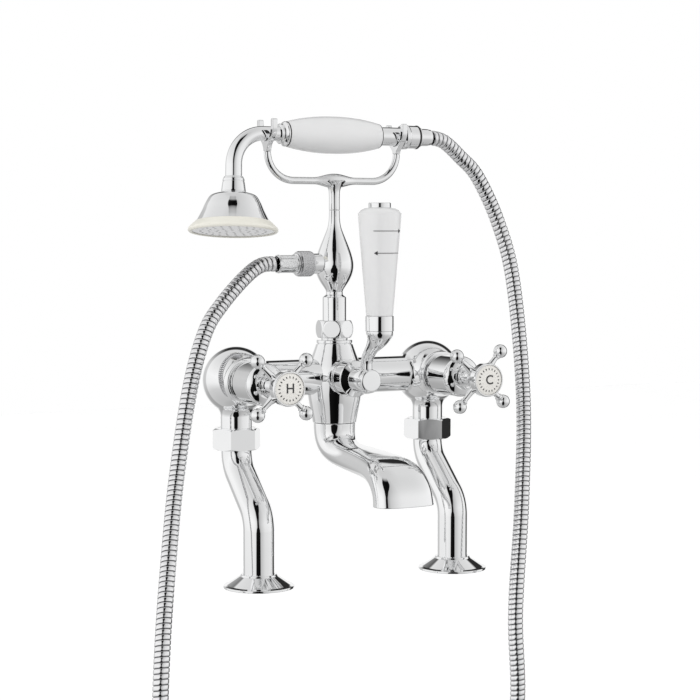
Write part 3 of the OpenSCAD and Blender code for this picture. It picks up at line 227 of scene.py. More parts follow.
# Shower hose: a stainless steel strip wound into interlocking ribs, 1.5 m long. Its ends are clamped
# in two ferrules, and it hangs in one loop in front of the deck.
HOSE_WIDTH = 12.7
HOSE_STEP = 2
RIB_PITCH = 4.1
RIB_STEPS = 24
GROOVE_DEPTH = 0.9
# Painted shade: the dark grey given to the grooves between the ribs, in place of the shade that falls into
# them
GROOVE_SHADE = (0.16, 0.16, 0.165, 1)
BUMP_HEIGHT = 0.1
# Across one rib: place along the pitch, and depth as a share of the groove
RIB_SECTION = [(0.0, 1.0), (0.08, 1.0), (0.13, 0.25), (0.24, 0.0), (0.82, 0.0), (0.95, 0.25)]
hose_outlet = Vector((-53.4, 42, 256.8))
hose_return = Vector((91.2, 42, 363))
hose_route = [
    hose_outlet, (-67.4, 42, 255.8), (-83, 40, 246), (-106, 36, 224), (-123, 29, 203), (-141, 18, 160),
    (-159, 4, 90), (-176, -20, 30), (-192, -46, -30), (-199, -58, -90), (-197, -64, -150),
    (-176, -66, -215), (-134, -66, -268), (-78, -66, -297), (-18, -66, -300), (40, -66, -278),
    (84, -66, -232), (108, -66, -165), (114, -65, -95), (118, -55, -30),
    (138, -33, 60), (157, -5, 145), (165, 24, 240), (158, 37, 290), (139, 41, 330),
    (122, 42, 347), (105.2, 42, 360), hose_return]


def flowing(points, step):
    """Smooth curve through all points, with a point about every step."""
    points = [Vector(p) for p in points]
    line = []
    for i in range(len(points) - 1):
        a, b, c = points[max(i - 1, 0)], points[i], points[i + 1]
        d = points[min(i + 2, len(points) - 1)]
        count = max(1, round((c - b).length / step))
        for k in range(count):
            t = k / count
            line.append(0.5 * (2 * b + (c - a) * t + (2 * a - 5 * b + 4 * c - d) * t ** 2
                               + (3 * b - a - 3 * c + d) * t ** 3))
    return line + [points[-1]]


def carried_frames(line):
    """For each point of a line: two directions across it that never twist."""
    frames = []
    side = Vector((0, 1, 0))
    for i in range(len(line)):
        tangent = (line[min(i + 1, len(line) - 1)] - line[max(i - 1, 0)]).normalized()
        side = (side - tangent * side.dot(tangent)).normalized()
        frames.append((side, tangent.cross(side)))
    return frames


def pick(*pieces):
    """Selects these pieces alone, and makes the first one active."""
    bpy.ops.object.select_all(action="DESELECT")
    for piece in pieces:
        piece.select_set(True)
    bpy.context.view_layer.objects.active = pieces[0]


def new_piece(name, points, faces):
    """Mesh piece from points in millimetres."""
    mesh = bpy.data.meshes.new(name)
    mesh.from_pydata([Vector(p) * MM for p in points], [], faces)
    piece = bpy.data.objects.new(name, mesh)
    bpy.context.collection.objects.link(piece)
    pick(piece)
    return piece


def wound_hose(name, line):
    """Strip with the rib's section, wound round the line so that each turn meets the next."""
    run = np.concatenate([[0], np.cumsum([(b - a).length for a, b in zip(line, line[1:])])])
    places = np.array([list(p) for p in line])
    frames = carried_frames(line)
    sides = [np.array([list(f[k]) for f in frames]) for k in (0, 1)]

    def along(table, s):
        return np.stack([np.interp(s, run, table[:, k]) for k in range(3)], axis=1)

    turns = int(run[-1] / RIB_PITCH) - 1
    steps = np.arange((turns + 1) * RIB_STEPS + 1)
    angle = steps / RIB_STEPS * 2 * math.pi
    rings = []
    depths = []
    for share, depth in RIB_SECTION:
        s = (steps / RIB_STEPS + share) * RIB_PITCH
        radius = HOSE_WIDTH / 2 - GROOVE_DEPTH * depth
        out = along(sides[0], s) * np.cos(angle)[:, None] + along(sides[1], s) * np.sin(angle)[:, None]
        rings.append(along(places, s) + out * radius)
        depths.append(np.full(len(steps), depth))
    points = np.stack(rings, axis=1).reshape(-1, 3)
    count = len(RIB_SECTION)

    def number(step, part):
        return (step + RIB_STEPS * (part // count)) * count + part % count

    faces = [(number(i, p), number(i + 1, p), number(i + 1, p + 1), number(i, p + 1))
             for i in range(turns * RIB_STEPS) for p in range(count)]
    piece = new_piece(name, points.tolist(), faces)
    groove = piece.data.attributes.new("groove", "FLOAT", "POINT")
    groove.data.foreach_set("value", np.stack(depths, axis=1).reshape(-1).astype(np.float32))
    return piece


def mottled(name, dark, pale, rough, grain, bump=0.0, bump_grain=400.0, **constants):
    """Material whose colour, gloss and surface vary a little over the piece."""
    material = bpy.data.materials.new(name)
    material.use_nodes = True
    tree = material.node_tree
    shader = tree.nodes["Principled BSDF"].inputs
    place = add_node(tree, "TexCoord").outputs["Object"]
    spots = add_node(tree, "TexNoise", {"Vector": place, "Scale": grain, "Detail": 4.0}).outputs["Fac"]
    tree.links.new(add_mix(tree, spots, (*dark, 1), (*pale, 1), "RGBA"), shader["Base Color"])
    tree.links.new(add_range(tree, spots, 0, 1, *rough), shader["Roughness"])
    if bump:
        waves = add_node(tree, "TexNoise", {"Vector": place, "Scale": bump_grain, "Detail": 3.0})
        swell = add_node(tree, "Bump", {
            "Height": waves.outputs["Fac"], "Strength": bump, "Distance": BUMP_HEIGHT * MM})
        tree.links.new(swell.outputs["Normal"], shader["Normal"])
    for socket, value in constants.items():
        shader[socket.replace("_", " ")].default_value = value
    return material


hose_line = flowing(hose_route, HOSE_STEP)
hose = wound_hose("shower_hose_ribbed", hose_line)
bpy.ops.object.shade_smooth_by_angle(angle=math.radians(50))
hose_steel = mottled("hose_steel", (0.84, 0.84, 0.85), (0.94, 0.94, 0.95), (0.05, 0.12), 900.0, Metallic=1.0)
steel_tree = hose_steel.node_tree
steel_base = steel_tree.nodes["Principled BSDF"].inputs["Base Color"]
# Painted shade in the grooves: the steel's colour is mixed toward dark grey by each point's groove depth
groove_shade_share = add_node(steel_tree, "Attribute", attribute_name="groove").outputs["Fac"]
steel_colour = steel_base.links[0].from_socket
steel_tree.links.new(add_mix(steel_tree, groove_shade_share, steel_colour, GROOVE_SHADE, "RGBA"), steel_base)
hose.data.materials.append(hose_steel)
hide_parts("shower_hose")
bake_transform(hose)


# Feet: chromed brass flanges with a flared top, turned from bar, that slide down the legs onto the
# bath deck. Like most pieces here they are turned, so the lathe and its outlines start here.
SIDES = ("hot", "cold")
DECK_UP = (0, 0, 1)
LEG_WIDTH = 25
FOOT_PLAY = 0.1
SEAM = 0.001

chrome = mottled("polished_chrome", (0.90, 0.905, 0.91), (0.95, 0.952, 0.955), (0.02, 0.05), 45.0,
                 bump=0.02, bump_grain=160.0, Metallic=1.0)


def box_mm(node):
    """Lowest and highest corner of a CAD node, in millimetres."""
    low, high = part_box(node)
    return low / MM, high / MM


def middle_mm(node):
    """Middle of a CAD node's box, in millimetres."""
    low, high = box_mm(node)
    return (low + high) / 2


def rounded(corners, arc_steps=6):
    """Outline through (radius, height) corners. A third value rounds its corner with that radius."""
    outline = []
    for i, (x, z, *rounding) in enumerate(corners):
        corner = Vector((x, z))
        if not rounding:
            outline.append(corner)
            continue
        back = (Vector(corners[i - 1][:2]) - corner).normalized()
        ahead = (Vector(corners[i + 1][:2]) - corner).normalized()
        half = back.angle(ahead) / 2
        centre = corner + (back + ahead).normalized() * rounding[0] / math.sin(half)
        start = corner + back * rounding[0] / math.tan(half) - centre
        end = corner + ahead * rounding[0] / math.tan(half) - centre
        sweep = math.atan2(start.x * end.y - start.y * end.x, start.dot(end))
        for k in range(arc_steps + 1):
            outline.append(centre + Matrix.Rotation(sweep * k / arc_steps, 2) @ start)
    return outline


def arc(centre, radius, start, end, steps=24):
    """Outline points on an arc between two angles in degrees, from the radius axis to the height axis."""
    angles = [math.radians(start + (end - start) * k / steps) for k in range(steps + 1)]
    return [Vector((centre[0] + radius * math.cos(a), centre[1] + radius * math.sin(a))) for a in angles]


def edit_all():
    """Puts the active mesh in edit mode with all of it selected."""
    bpy.ops.object.mode_set(mode="EDIT")
    bpy.ops.mesh.select_all(action="SELECT")


def single_point(name):
    """New mesh in edit mode with one selected point at the origin."""
    bpy.ops.mesh.primitive_plane_add(size=MM, location=(0, 0, 0))
    piece = bpy.context.object
    piece.name = name
    piece.data.name = name
    edit_all()
    bpy.ops.mesh.merge(type="CENTER")
    return piece


def draw_line(name, places):
    """New mesh in edit mode: a line of edges through places in millimetres, all selected."""
    places = [p * MM for p in places]
    piece = single_point(name)
    bpy.ops.transform.translate(value=places[0])
    for a, b in zip(places, places[1:]):
        bpy.ops.mesh.extrude_vertices_move(TRANSFORM_OT_translate={"value": b - a})
    bpy.ops.mesh.select_all(action="SELECT")
    return piece


def close_mesh():
    """Merges the seams of the active mesh and turns its faces outwards."""
    edit_all()
    bpy.ops.mesh.remove_doubles(threshold=SEAM * MM)
    bpy.ops.mesh.normals_make_consistent(inside=False)
    bpy.ops.object.mode_set(mode="OBJECT")


def modify(piece, kind, **settings):
    """Adds a modifier to a piece and applies it."""
    pick(piece)
    bpy.ops.object.modifier_add(type=kind)
    modifier = piece.modifiers[-1]
    for key, value in settings.items():
        setattr(modifier, key, value)
    bpy.ops.object.modifier_apply(modifier=modifier.name)
    return piece


def polish(piece, angle=32):
    """Smooth shading up to an angle, with flat faces and straight barrels kept true."""
    pick(piece)
    bpy.ops.object.shade_smooth_by_angle(angle=math.radians(angle))
    modify(piece, "WEIGHTED_NORMAL", keep_sharp=True)


def lathe(name, outline, seat, axis, steps=112):
    """Turned piece: an outline of (radius, height) points above a seat, spun about an axis. An outline
    that starts away from the axis is closed to a ring."""
    axis = Vector(axis).normalized()
    across = axis.orthogonal().normalized()
    seat = Vector(seat)
    closing = outline[:1] if outline[0][0] else []
    piece = draw_line(name, [seat + across * p[0] + axis * p[1] for p in outline + closing])
    bpy.ops.mesh.spin(steps=steps, angle=2 * math.pi, center=seat * MM, axis=axis)
    close_mesh()
    polish(piece)
    return piece


def join(name, pieces):
    """One piece made of several that are cast, brazed or pressed together."""
    pick(*pieces)
    bpy.ops.object.join()
    pieces[0].name = name
    pieces[0].data.name = name
    return pieces[0]


def fit_piece(piece, body, *nodes, material=chrome, slot="chrome"):
    """Gives a piece its finish and puts it in the place of its CAD nodes."""
    piece.data.materials.clear()
    piece.data.materials.append(material)
    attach(piece, body)
    if nodes:
        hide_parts(*nodes)


for side in SIDES:
    low, high = box_mm(f"{side}_foot")
    seat = (low + high) / 2
    seat.z = low.z
    flange = (high.x - low.x) / 2
    height = high.z - low.z
    bore = LEG_WIDTH / 2 + FOOT_PLAY
    foot = lathe(f"{side}_foot_flange", rounded([
        (bore, 0), (flange, 0, 0.4), (flange, 1.8, 0.6), (flange - 2.6, 2.6, 1.6),
        (bore + 2.6, height - 1.6, 1.4), (bore + 1.9, height, 0.6), (bore, height)]), seat, DECK_UP)
    fit_piece(foot, "mixer", f"{side}_foot")


# Legs: chromed brass tubes, bent twice so that the body stands behind the feet, with a collar at the
# top that the union nut pulls up.
LEG_WALL = 3.2
LEG_SIDES = 72
CRANK_RADIUS = 25
CRANK_ANGLE = 48
CRANK_STEPS = 24
CRANK_GAP = 1


def pull(offset):
    """Draws the selected outline out in a straight line."""
    bpy.ops.mesh.extrude_region_move(TRANSFORM_OT_translate={"value": Vector(offset) * MM})


def bend(centre, axis):
    """Draws the selected ring out round one bend of the crank. Spin turns left-handed about its axis."""
    bpy.ops.mesh.spin(steps=CRANK_STEPS, angle=-math.radians(CRANK_ANGLE),
                      center=Vector(centre) * MM, axis=axis)


for side in SIDES:
    x = middle_mm(f"{side}_leg").x
    setback = middle_mm(f"{side}_union_nut").y
    leg_top = box_mm(f"{side}_leg")[1].z
    crank_top = box_mm(f"{side}_union_nut")[0].z - CRANK_GAP
    lean = math.radians(CRANK_ANGLE)
    run = (setback - 2 * CRANK_RADIUS * (1 - math.cos(lean))) / math.sin(lean)
    crank_foot = crank_top - 2 * CRANK_RADIUS * math.sin(lean) - run * math.cos(lean)
    leg = single_point(f"{side}_leg_tube")
    bpy.ops.mesh.delete(type="VERT")
    bpy.ops.mesh.primitive_circle_add(vertices=LEG_SIDES, radius=LEG_WIDTH / 2 * MM, location=(x * MM, 0, 0))
    pull((0, 0, crank_foot))
    bend((x, CRANK_RADIUS, crank_foot), (-1, 0, 0))
    pull((0, run * math.sin(lean), run * math.cos(lean)))
    bend((x, setback - CRANK_RADIUS, crank_top), (1, 0, 0))
    pull((0, 0, leg_top - crank_top))
    close_mesh()
    modify(leg, "SOLIDIFY", thickness=LEG_WALL * MM, offset=-1)
    polish(leg)
    fit_piece(leg, "mixer", f"{side}_leg")


# Union nuts: hexagon brass nuts, turned down at their corners and chromed, that pull the legs up to
# the valve bodies. Each has a rubber washer inside.
NUT_EASE = 0.35
NUT_EDGE_ANGLE = 24
# How far each is tightened past the drawing, in degrees
NUT_TURN = {"hot": 9, "cold": -0.6}
# How near points are merged and how flat faces are joined in a copy of a drawn piece
COPY_SEAM = 0.002
COPY_FLATNESS = math.radians(0.6)


def ease_edges(piece, width, angle):
    """Breaks the edges of a piece that turn by more than an angle."""
    modify(piece, "BEVEL", width=width * MM, segments=3, limit_method="ANGLE",
           angle_limit=math.radians(angle))


def eased_copy(name, node):
    """Copy of a CAD node whose sharp edges are broken, as polishing breaks them."""
    piece = bpy.data.objects.new(name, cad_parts[node].data.copy())
    bpy.context.collection.objects.link(piece)
    pick(piece)
    bpy.ops.mesh.customdata_custom_splitnormals_clear()
    edit_all()
    bpy.ops.mesh.remove_doubles(threshold=COPY_SEAM * MM)
    bpy.ops.mesh.dissolve_limited(angle_limit=COPY_FLATNESS)
    close_mesh()
    ease_edges(piece, NUT_EASE, NUT_EDGE_ANGLE)
    polish(piece)
    return piece


def finish_nodes(material, *nodes):
    """Gives CAD nodes that stay as they are drawn their finish."""
    for node in nodes:
        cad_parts[node].data.materials[0] = material


rubber = mottled("washer_rubber", (0.02, 0.02, 0.02), (0.04, 0.04, 0.04), (0.6, 0.8), 300.0)
for side in SIDES:
    nut = eased_copy(f"{side}_union_hexagon", f"{side}_union_nut")
    edit_all()
    bpy.ops.transform.rotate(value=-math.radians(NUT_TURN[side]), orient_axis="Z",
                             center_override=middle_mm(f"{side}_union_nut") * MM)
    bpy.ops.object.mode_set(mode="OBJECT")
    fit_piece(nut, "mixer", f"{side}_union_nut")
    finish_nodes(rubber, f"{side}_union_washer")


# Valve bodies and crossbars: hollow brass castings, polished and chromed. The bars' spigots are
# soldered into the valve bodies and the centre body.
for side in SIDES:
    finish_nodes(chrome, f"{side}_valve_body", f"{side}_crossbar")


# Valve works: a brass cartridge in each pocket, two ceramic discs that slide on each other, and the
# spindle that turns the upper one.
brass = mottled("turned_brass", (0.62, 0.45, 0.18), (0.75, 0.56, 0.26), (0.18, 0.34), 220.0, Metallic=1.0)
disc_ceramic = mottled("disc_ceramic", (0.70, 0.69, 0.66), (0.80, 0.79, 0.77), (0.25, 0.4), 500.0)
for side in SIDES:
    finish_nodes(brass, f"{side}_cartridge", f"{side}_spindle")
    finish_nodes(disc_ceramic, f"{side}_fixed_disc", f"{side}_moving_disc")


# Shrouds: turned brass covers with a rounded nose, polished and chromed, one over each cartridge. They
# are screwed onto the cartridge collars, and the spindles come out through their noses.
FORWARD = (0, -1, 0)
SPINDLE_HOLE = 4.4
COVER_WALL = 2.5
NOSE_LENGTH = 6.4
COLLAR_FIT = 14.5

for side in SIDES:
    low, high = box_mm(f"{side}_shroud")
    seat = (low + high) / 2
    seat.y = high.y
    r = (high.x - low.x) / 2
    length = high.y - low.y
    nose = length - NOSE_LENGTH
    outline = rounded([(COLLAR_FIT, 0.1), (r, 0.1, 0.3), (r, 1.9, 0.3), (r - 0.45, 2.2, 0.1),
                       (r - 0.45, 2.8, 0.1), (r, 3.1, 0.3), (r, nose - 0.5)])
    outline += arc((r - 5, nose), 5, 0, 54) + arc((r - 12.05, nose - 9.7), 17, 54, 70)[1:]
    outline += rounded([(r - 6.6, length), (SPINDLE_HOLE, length, 0.3), (SPINDLE_HOLE, length - COVER_WALL),
                        (10, length - COVER_WALL), (10, 9.2), (COLLAR_FIT, 9.2)])
    fit_piece(lathe(f"{side}_shroud_cover", outline, seat, FORWARD), "mixer", f"{side}_shroud")


# Cross handles: a turned hub with four turned spokes brazed in, each ending in a ball, all chromed.
# The hub opens at the front into the bezel that holds the index.
HUB_START = 61.6
HUB_BORE = 4.1
SPOKE_PLANE = 85.2
SPOKE_START = 5
BALL_CIRCLE = 29.4
BALL_RADIUS = 5.7
BEZEL = 13.9
INDEX_DEPTH = 3.5
# Angle of the first spoke of each handle, in degrees
FIRST_SPOKE = {"hot": 45, "cold": 49}

spoke_outline = [(0, SPOKE_START)]
spoke_outline += flowing([
    (4.3, SPOKE_START), (3.9, 8.5), (3.1, 12.6), (2.5, 17), (2.25, 20.6), (2.3, 22.6)], 0.6)
spoke_outline += rounded([(2.4, 22.8), (3.1, 23.1, 0.3), (3.1, 24.3, 0.2), (2.9, 24.5)])
spoke_outline += arc((0, BALL_CIRCLE), BALL_RADIUS, -59, 90)
for side in SIDES:
    low, high = box_mm(f"{side}_handle")
    valve = middle_mm(f"{side}_index")
    valve.y = high.y + HUB_START
    face = HUB_START + high.y - low.y
    outline = rounded([(HUB_BORE, HUB_START), (8, HUB_START, 0.4), (8, HUB_START + 2.2, 0.5),
                       (6.9, HUB_START + 2.6)])
    outline += flowing([
        (6.8, HUB_START + 4), (6.6, SPOKE_PLANE - 10), (7.4, SPOKE_PLANE - 6), (8.8, SPOKE_PLANE - 3),
        (9.0, SPOKE_PLANE), (8.6, SPOKE_PLANE + 2), (9.4, SPOKE_PLANE + 3.4),
        (12.2, SPOKE_PLANE + 4.2)], 0.6)
    outline += rounded([
        (BEZEL - 1.2, SPOKE_PLANE + 4.3), (BEZEL, SPOKE_PLANE + 6.3, 2), (BEZEL, face - 1.5, 0.8),
        (BEZEL - 0.6, face, 0.5), (BEZEL - 1.5, face, 0.2), (BEZEL - 1.5, face - INDEX_DEPTH),
        (HUB_BORE, face - INDEX_DEPTH)])
    pieces = [lathe(f"{side}_hub", outline, valve, FORWARD)]
    root = valve + Vector(FORWARD) * SPOKE_PLANE
    for quarter in range(4):
        angle = math.radians(FIRST_SPOKE[side] + 90 * quarter)
        out = (math.cos(angle), 0, math.sin(angle))
        pieces.append(lathe(f"{side}_spoke", spoke_outline, root, out, steps=48))
    fit_piece(join(f"{side}_cross_handle", pieces), f"{side}_handle", f"{side}_handle")


# Index buttons: crowned discs of glazed ceramic, cemented into the bezels. The print is a letter for
# hot or cold inside a ring of short bars.
CROWN = 1.6
LETTERS = {"hot": "H", "cold": "C"}
LETTER_SIZE = 10.5
LETTER_DEPTH = 0.08
LETTER_WEIGHT = 0.12
LETTER_SINK = 0.03
BAR_COUNT = 20
BAR_RING = 9
BAR_SIZE = (1.6, 0.25, 0.8)
BAR_SINK = 0.05

glaze = mottled("index_glaze", (0.79, 0.77, 0.73), (0.84, 0.825, 0.79), (0.08, 0.16), 90.0, Coat_Weight=0.4)
print_ink = mottled("print_ink", (0.02, 0.02, 0.022), (0.05, 0.05, 0.05), (0.3, 0.45), 800.0)
for side in SIDES:
    low, high = box_mm(f"{side}_index")
    middle = (low + high) / 2
    front = Vector((middle.x, low.y, middle.z))
    r = (high.x - low.x) / 2
    depth = high.y - low.y
    crown_r = (r * r + CROWN * CROWN) / (2 * CROWN)
    half = math.degrees(math.asin((r - 0.5) / crown_r))
    outline = [(0, 0), (r, 0), (r, depth - CROWN - 0.1)]
    outline += arc((0, depth - crown_r), crown_r, 90 - half, 90)
    button = lathe(f"{side}_index_button", outline, (middle.x, high.y, middle.z), FORWARD)
    fit_piece(button, f"{side}_handle", f"{side}_index", material=glaze, slot="white_ceramic")
    bpy.ops.object.text_add(location=(0, 0, 0))
    letter = bpy.context.object
    letter.data.body = LETTERS[side]
    letter.data.align_x = "CENTER"
    letter.data.align_y = "CENTER"
    letter.data.size = LETTER_SIZE * MM
    letter.data.extrude = LETTER_DEPTH * MM
    letter.data.offset = LETTER_WEIGHT * MM
    bpy.ops.object.convert(target="MESH")
    letter.rotation_euler = (math.radians(90), 0, 0)
    letter.location = (front + Vector((0, LETTER_SINK, 0))) * MM
    bpy.ops.object.transform_apply()
    marks = [letter]
    sag = BAR_RING ** 2 / (2 * crown_r)
    slope = Matrix.Rotation(BAR_RING / crown_r, 3, "Z")
    for k in range(BAR_COUNT):
        angle = 2 * math.pi * k / BAR_COUNT
        place = Vector((BAR_RING * math.cos(angle), sag + BAR_SINK, BAR_RING * math.sin(angle)))
        lie = (Matrix.Rotation(-angle, 3, "Y") @ slope).to_euler()
        bpy.ops.mesh.primitive_cube_add(size=MM, location=(front + place) * MM, rotation=lie, scale=BAR_SIZE)
        bpy.ops.object.transform_apply()
        marks.append(bpy.context.object)
    fit_piece(join(f"{side}_index_print", marks), f"{side}_handle", material=print_ink, slot="white_ceramic")


# Centre body: a hollow brass casting between the two bars, with a boss in front for the diverter and
# a collar on top for the riser.
centre = middle_mm("hot_crossbar")
centre.x = 0
setback = centre.y
valve_z = centre.z
body_r = box_mm("centre_body")[1].y - setback
outline = rounded([(0, -38.4), (18.4, -38.4, 0.3), (18.5, -37.6)])
outline += flowing([
    (18.6, -37), (20.2, -28.8), (body_r - 1.6, -18), (body_r - 0.3, -7), (body_r, 0), (body_r - 1.2, 7),
    (20.6, 13), (18.3, 19), (16.1, 25), (15.5, 26.8)], 0.8)
outline += rounded([(14.6, 27.0), (14.6, 27.6, 0.2), (15.2, 28.0, 0.4), (15.2, 30.3, 0.6), (11.2, 30.5, 0.2),
                    (11.2, 34), (0, 34)])
body = lathe("centre_body_casting", outline, centre, DECK_UP)
boss = lathe("diverter_boss", rounded([(0, 4), (15.5, 4), (15.5, 24, 0.5), (0, 24)]), centre, FORWARD)
fit_piece(join("centre_body_casting", [body, boss]), "mixer", "centre_body")


# Diverter works: a brass cartridge, a ceramic disc and a spindle, under a turned bonnet whose front is
# a shallow cone.
BONNET_FIT = 12.6

finish_nodes(brass, "diverter_cartridge", "diverter_spindle")
finish_nodes(disc_ceramic, "diverter_disc")
low, high = box_mm("diverter_bonnet")
r = (high.x - low.x) / 2
length = high.y - low.y
bonnet = lathe("diverter_bonnet_cover", rounded([
    (BONNET_FIT, 0), (r, 0, 0.3), (r, 1.6, 0.3), (r - 0.4, 1.9, 0.1), (r - 0.4, 2.4, 0.1), (r, 2.7, 0.3),
    (r, length - 4.4, 1.6), (r - 6.2, length - 1, 0.6), (r - 6.8, length, 0.3), (SPINDLE_HOLE, length, 0.2),
    (SPINDLE_HOLE, length - COVER_WALL), (8.1, length - COVER_WALL), (8.1, length - 5),
    (BONNET_FIT, length - 5)]), (0, high.y, valve_z), FORWARD)
fit_piece(bonnet, "mixer", "diverter_bonnet")


# Lever: hub, bent arm and cup are one brass casting, polished and chromed, that sits on the diverter's
# spindle. A turned cap closes the hub.
CUP_HEIGHT = 14.4
CUP_RADIUS = 11.5
ARM_SETBACK = 5.9
ARM_SIDES = 56
# Faces that meet at less than this run into each other
CAST_ANGLE = 40

hub_face = box_mm("lever_arm")[1].y
cap_low, cap_high = box_mm("lever_cap")
grip_low, grip_high = box_mm("lever_grip")
hub_len = hub_face - cap_high.y
cup_y = middle_mm("lever_grip").y
cup_foot = grip_low.z - CUP_HEIGHT
outline = rounded([(0, 0), (HUB_BORE, 0), (10, 0, 0.6), (10.9, 2)])
outline += flowing([(11, 2.6), (11, hub_len * 0.6), (10.6, hub_len * 0.82), (9.9, hub_len - 0.9)], 0.6)
outline += [(9.7, hub_len - 0.2), (9.5, hub_len), (0, hub_len)]
hub = lathe("lever_hub", outline, (0, hub_face, valve_z), FORWARD)
cup = lathe("lever_cup", rounded([
    (0, 2), (CUP_RADIUS - 0.3, 2, 0.3), (CUP_RADIUS, 2.6, 0.3), (CUP_RADIUS, CUP_HEIGHT, 0.5),
    (10.6, CUP_HEIGHT), (10.6, CUP_HEIGHT - 0.4), (0, CUP_HEIGHT - 0.4)]), (0, cup_y, cup_foot), DECK_UP)


def loft(name, stations, sides, step):
    """Shell through rounded sections. Each has an upper and a lower point in the middle plane, half of
    its width, and how square it is."""
    stations = flowing(stations, step)
    points = []
    faces = []
    for upper_y, upper_z, lower_y, lower_z, half_width, squareness in stations:
        middle = Vector((0, upper_y + lower_y, upper_z + lower_z)) / 2
        half_depth = Vector((0, upper_y - lower_y, upper_z - lower_z)) / 2
        for k in range(sides):
            c = math.cos(2 * math.pi * k / sides)
            s = math.sin(2 * math.pi * k / sides)
            points.append(middle + Vector((half_width, 0, 0)) * math.copysign(abs(c) ** (2 / squareness), c)
                          + half_depth * math.copysign(abs(s) ** (2 / squareness), s))
    for i in range(len(stations) - 1):
        for k in range(sides):
            a = i * sides + k
            b = i * sides + (k + 1) % sides
            faces.append((a, b, b + sides, a + sides))
    piece = new_piece(name, points, faces)
    close_mesh()
    return piece


# From the hub up to the cup: the front line, the back line, half of the width, and 2 for a round section
socket_r = CUP_RADIUS - 0.4
arm_y = hub_face - hub_len + ARM_SETBACK
arm = loft("lever_bend", [
    (arm_y - 4.9, valve_z + 1, arm_y + 4.9, valve_z + 1, 4.9, 2),
    (arm_y - 5.2, valve_z + 11, arm_y + 4.6, valve_z + 11, 4.9, 2),
    (arm_y - 5.6, valve_z + 15.5, arm_y + 4.1, valve_z + 16.5, 4.9, 2),
    (arm_y - 7.4, valve_z + 17.6, arm_y + 0.8, valve_z + 23.4, 5.0, 2),
    (arm_y - 12.4, valve_z + 22.3, arm_y - 5.2, valve_z + 30.1, 5.3, 2),
    (cup_y - 1, cup_foot - 11.4, cup_y + 12, cup_foot - 2.4, 7.4, 2),
    (cup_y - 6.1, cup_foot - 7.5, cup_y + 10.3, cup_foot + 0.1, 9.2, 2),
    (cup_y - 10.7, cup_foot - 2, cup_y + 10.7, cup_foot + 1, 10.8, 2),
    (cup_y - socket_r, cup_foot + 2.5, cup_y + socket_r, cup_foot + 2.5, socket_r, 2)], ARM_SIDES, 1.2)
edit_all()
bpy.ops.mesh.fill_holes(sides=0)
close_mesh()
modify(arm, "SMOOTH", factor=0.5, iterations=6)
polish(arm, CAST_ANGLE)
fit_piece(join("lever_casting", [hub, arm, cup]), "diverter", "lever_arm")

cap_r = (cap_high.x - cap_low.x) / 2
cap_len = cap_high.y - cap_low.y
cap = lathe("lever_hub_cap", rounded([
    (0, 0), (cap_r - 0.4, 0, 0.2), (cap_r, 0.6, 0.2), (cap_r, cap_len, 2.2), (0, cap_len + 0.1)]),
    (0, cap_high.y, valve_z), FORWARD)
fit_piece(cap, "diverter", "lever_cap")


# Lever grip: slip-cast ceramic, glazed white, threaded on a brass rod between the cup and a turned
# finial. Two printed arrows show which way the water goes.
ROD_BORE = 3.1
GRIP_FOOT = 10.8
GRIP_DOME = 10
ARROW_HEIGHTS = {"right": 67.5, "left": 50}
ARROW_HALF = 46
ARROW_WIDTH = 0.45
ARROW_HEAD = 11
ARROW_BARB = 1.7
ARROW_TIP = 0.02
PRINT_LIFT = 0.06
PRINT_DEPTH = 0.1
FINIAL_HEIGHT = 3.9

finish_nodes(brass, "lever_rod")
glazed = mottled("glazed_ceramic", (0.75, 0.75, 0.755), (0.80, 0.80, 0.80), (0.2, 0.28), 60.0,
                 Coat_Weight=0.1)
grip_len = grip_high.z - grip_low.z
top_r = (grip_high.x - grip_low.x) / 2
outline = rounded([(ROD_BORE, 0), (GRIP_FOOT, 0, 0.5), (GRIP_FOOT + 0.05, 1)])
outline += flowing([
    (GRIP_FOOT + 0.1, 1.5), (GRIP_FOOT + (top_r - GRIP_FOOT) * 0.48, (grip_len - GRIP_DOME) * 0.5),
    (top_r - 0.1, grip_len - 8), (top_r - 0.5, grip_len - 4.9), (top_r - 1.9, grip_len - 2.3),
    (top_r - 4.6, grip_len - 0.7)], 0.8)
outline += [(9.2, grip_len), (ROD_BORE, grip_len)]
grip = lathe("lever_grip_ceramic", outline, (0, cup_y, grip_low.z), DECK_UP)
fit_piece(grip, "diverter", "lever_grip", material=glazed, slot="white_ceramic")

arrow_neck = ARROW_HALF - ARROW_HEAD
arrow_edge = [(degrees, ARROW_WIDTH / 2) for degrees in np.linspace(-ARROW_HALF, arrow_neck, 24)]
arrow_edge += [(arrow_neck, ARROW_BARB), (ARROW_HALF - ARROW_HEAD / 2, ARROW_BARB / 2),
               (ARROW_HALF, ARROW_TIP)]
arrow_faces = [(2 * i, 2 * i + 2, 2 * i + 3, 2 * i + 1) for i in range(len(arrow_edge) - 1)]
for way, height in ARROW_HEIGHTS.items():
    around = GRIP_FOOT + (top_r - GRIP_FOOT) * height / (grip_len - GRIP_DOME) + PRINT_LIFT
    points = []
    for degrees, half in arrow_edge:
        turn = math.radians(degrees if way == "right" else -degrees)
        x = around * math.sin(turn)
        y = cup_y - around * math.cos(turn)
        points += [(x, y, grip_low.z + height - half), (x, y, grip_low.z + height + half)]
    arrow = new_piece(f"lever_print_{way}", points, arrow_faces)
    close_mesh()
    modify(arrow, "SOLIDIFY", thickness=PRINT_DEPTH * MM, offset=0)
    fit_piece(arrow, "diverter", material=print_ink, slot="white_ceramic")

low, high = box_mm("lever_finial")
r = (high.x - low.x) / 2 + 0.4
finial = lathe("lever_grip_finial", rounded([
    (0, 0), (r, 0, 0.2), (r, FINIAL_HEIGHT, 0.7), (0, FINIAL_HEIGHT + 0.1)]), (0, cup_y, low.z), DECK_UP)
fit_piece(finial, "diverter", "lever_finial")


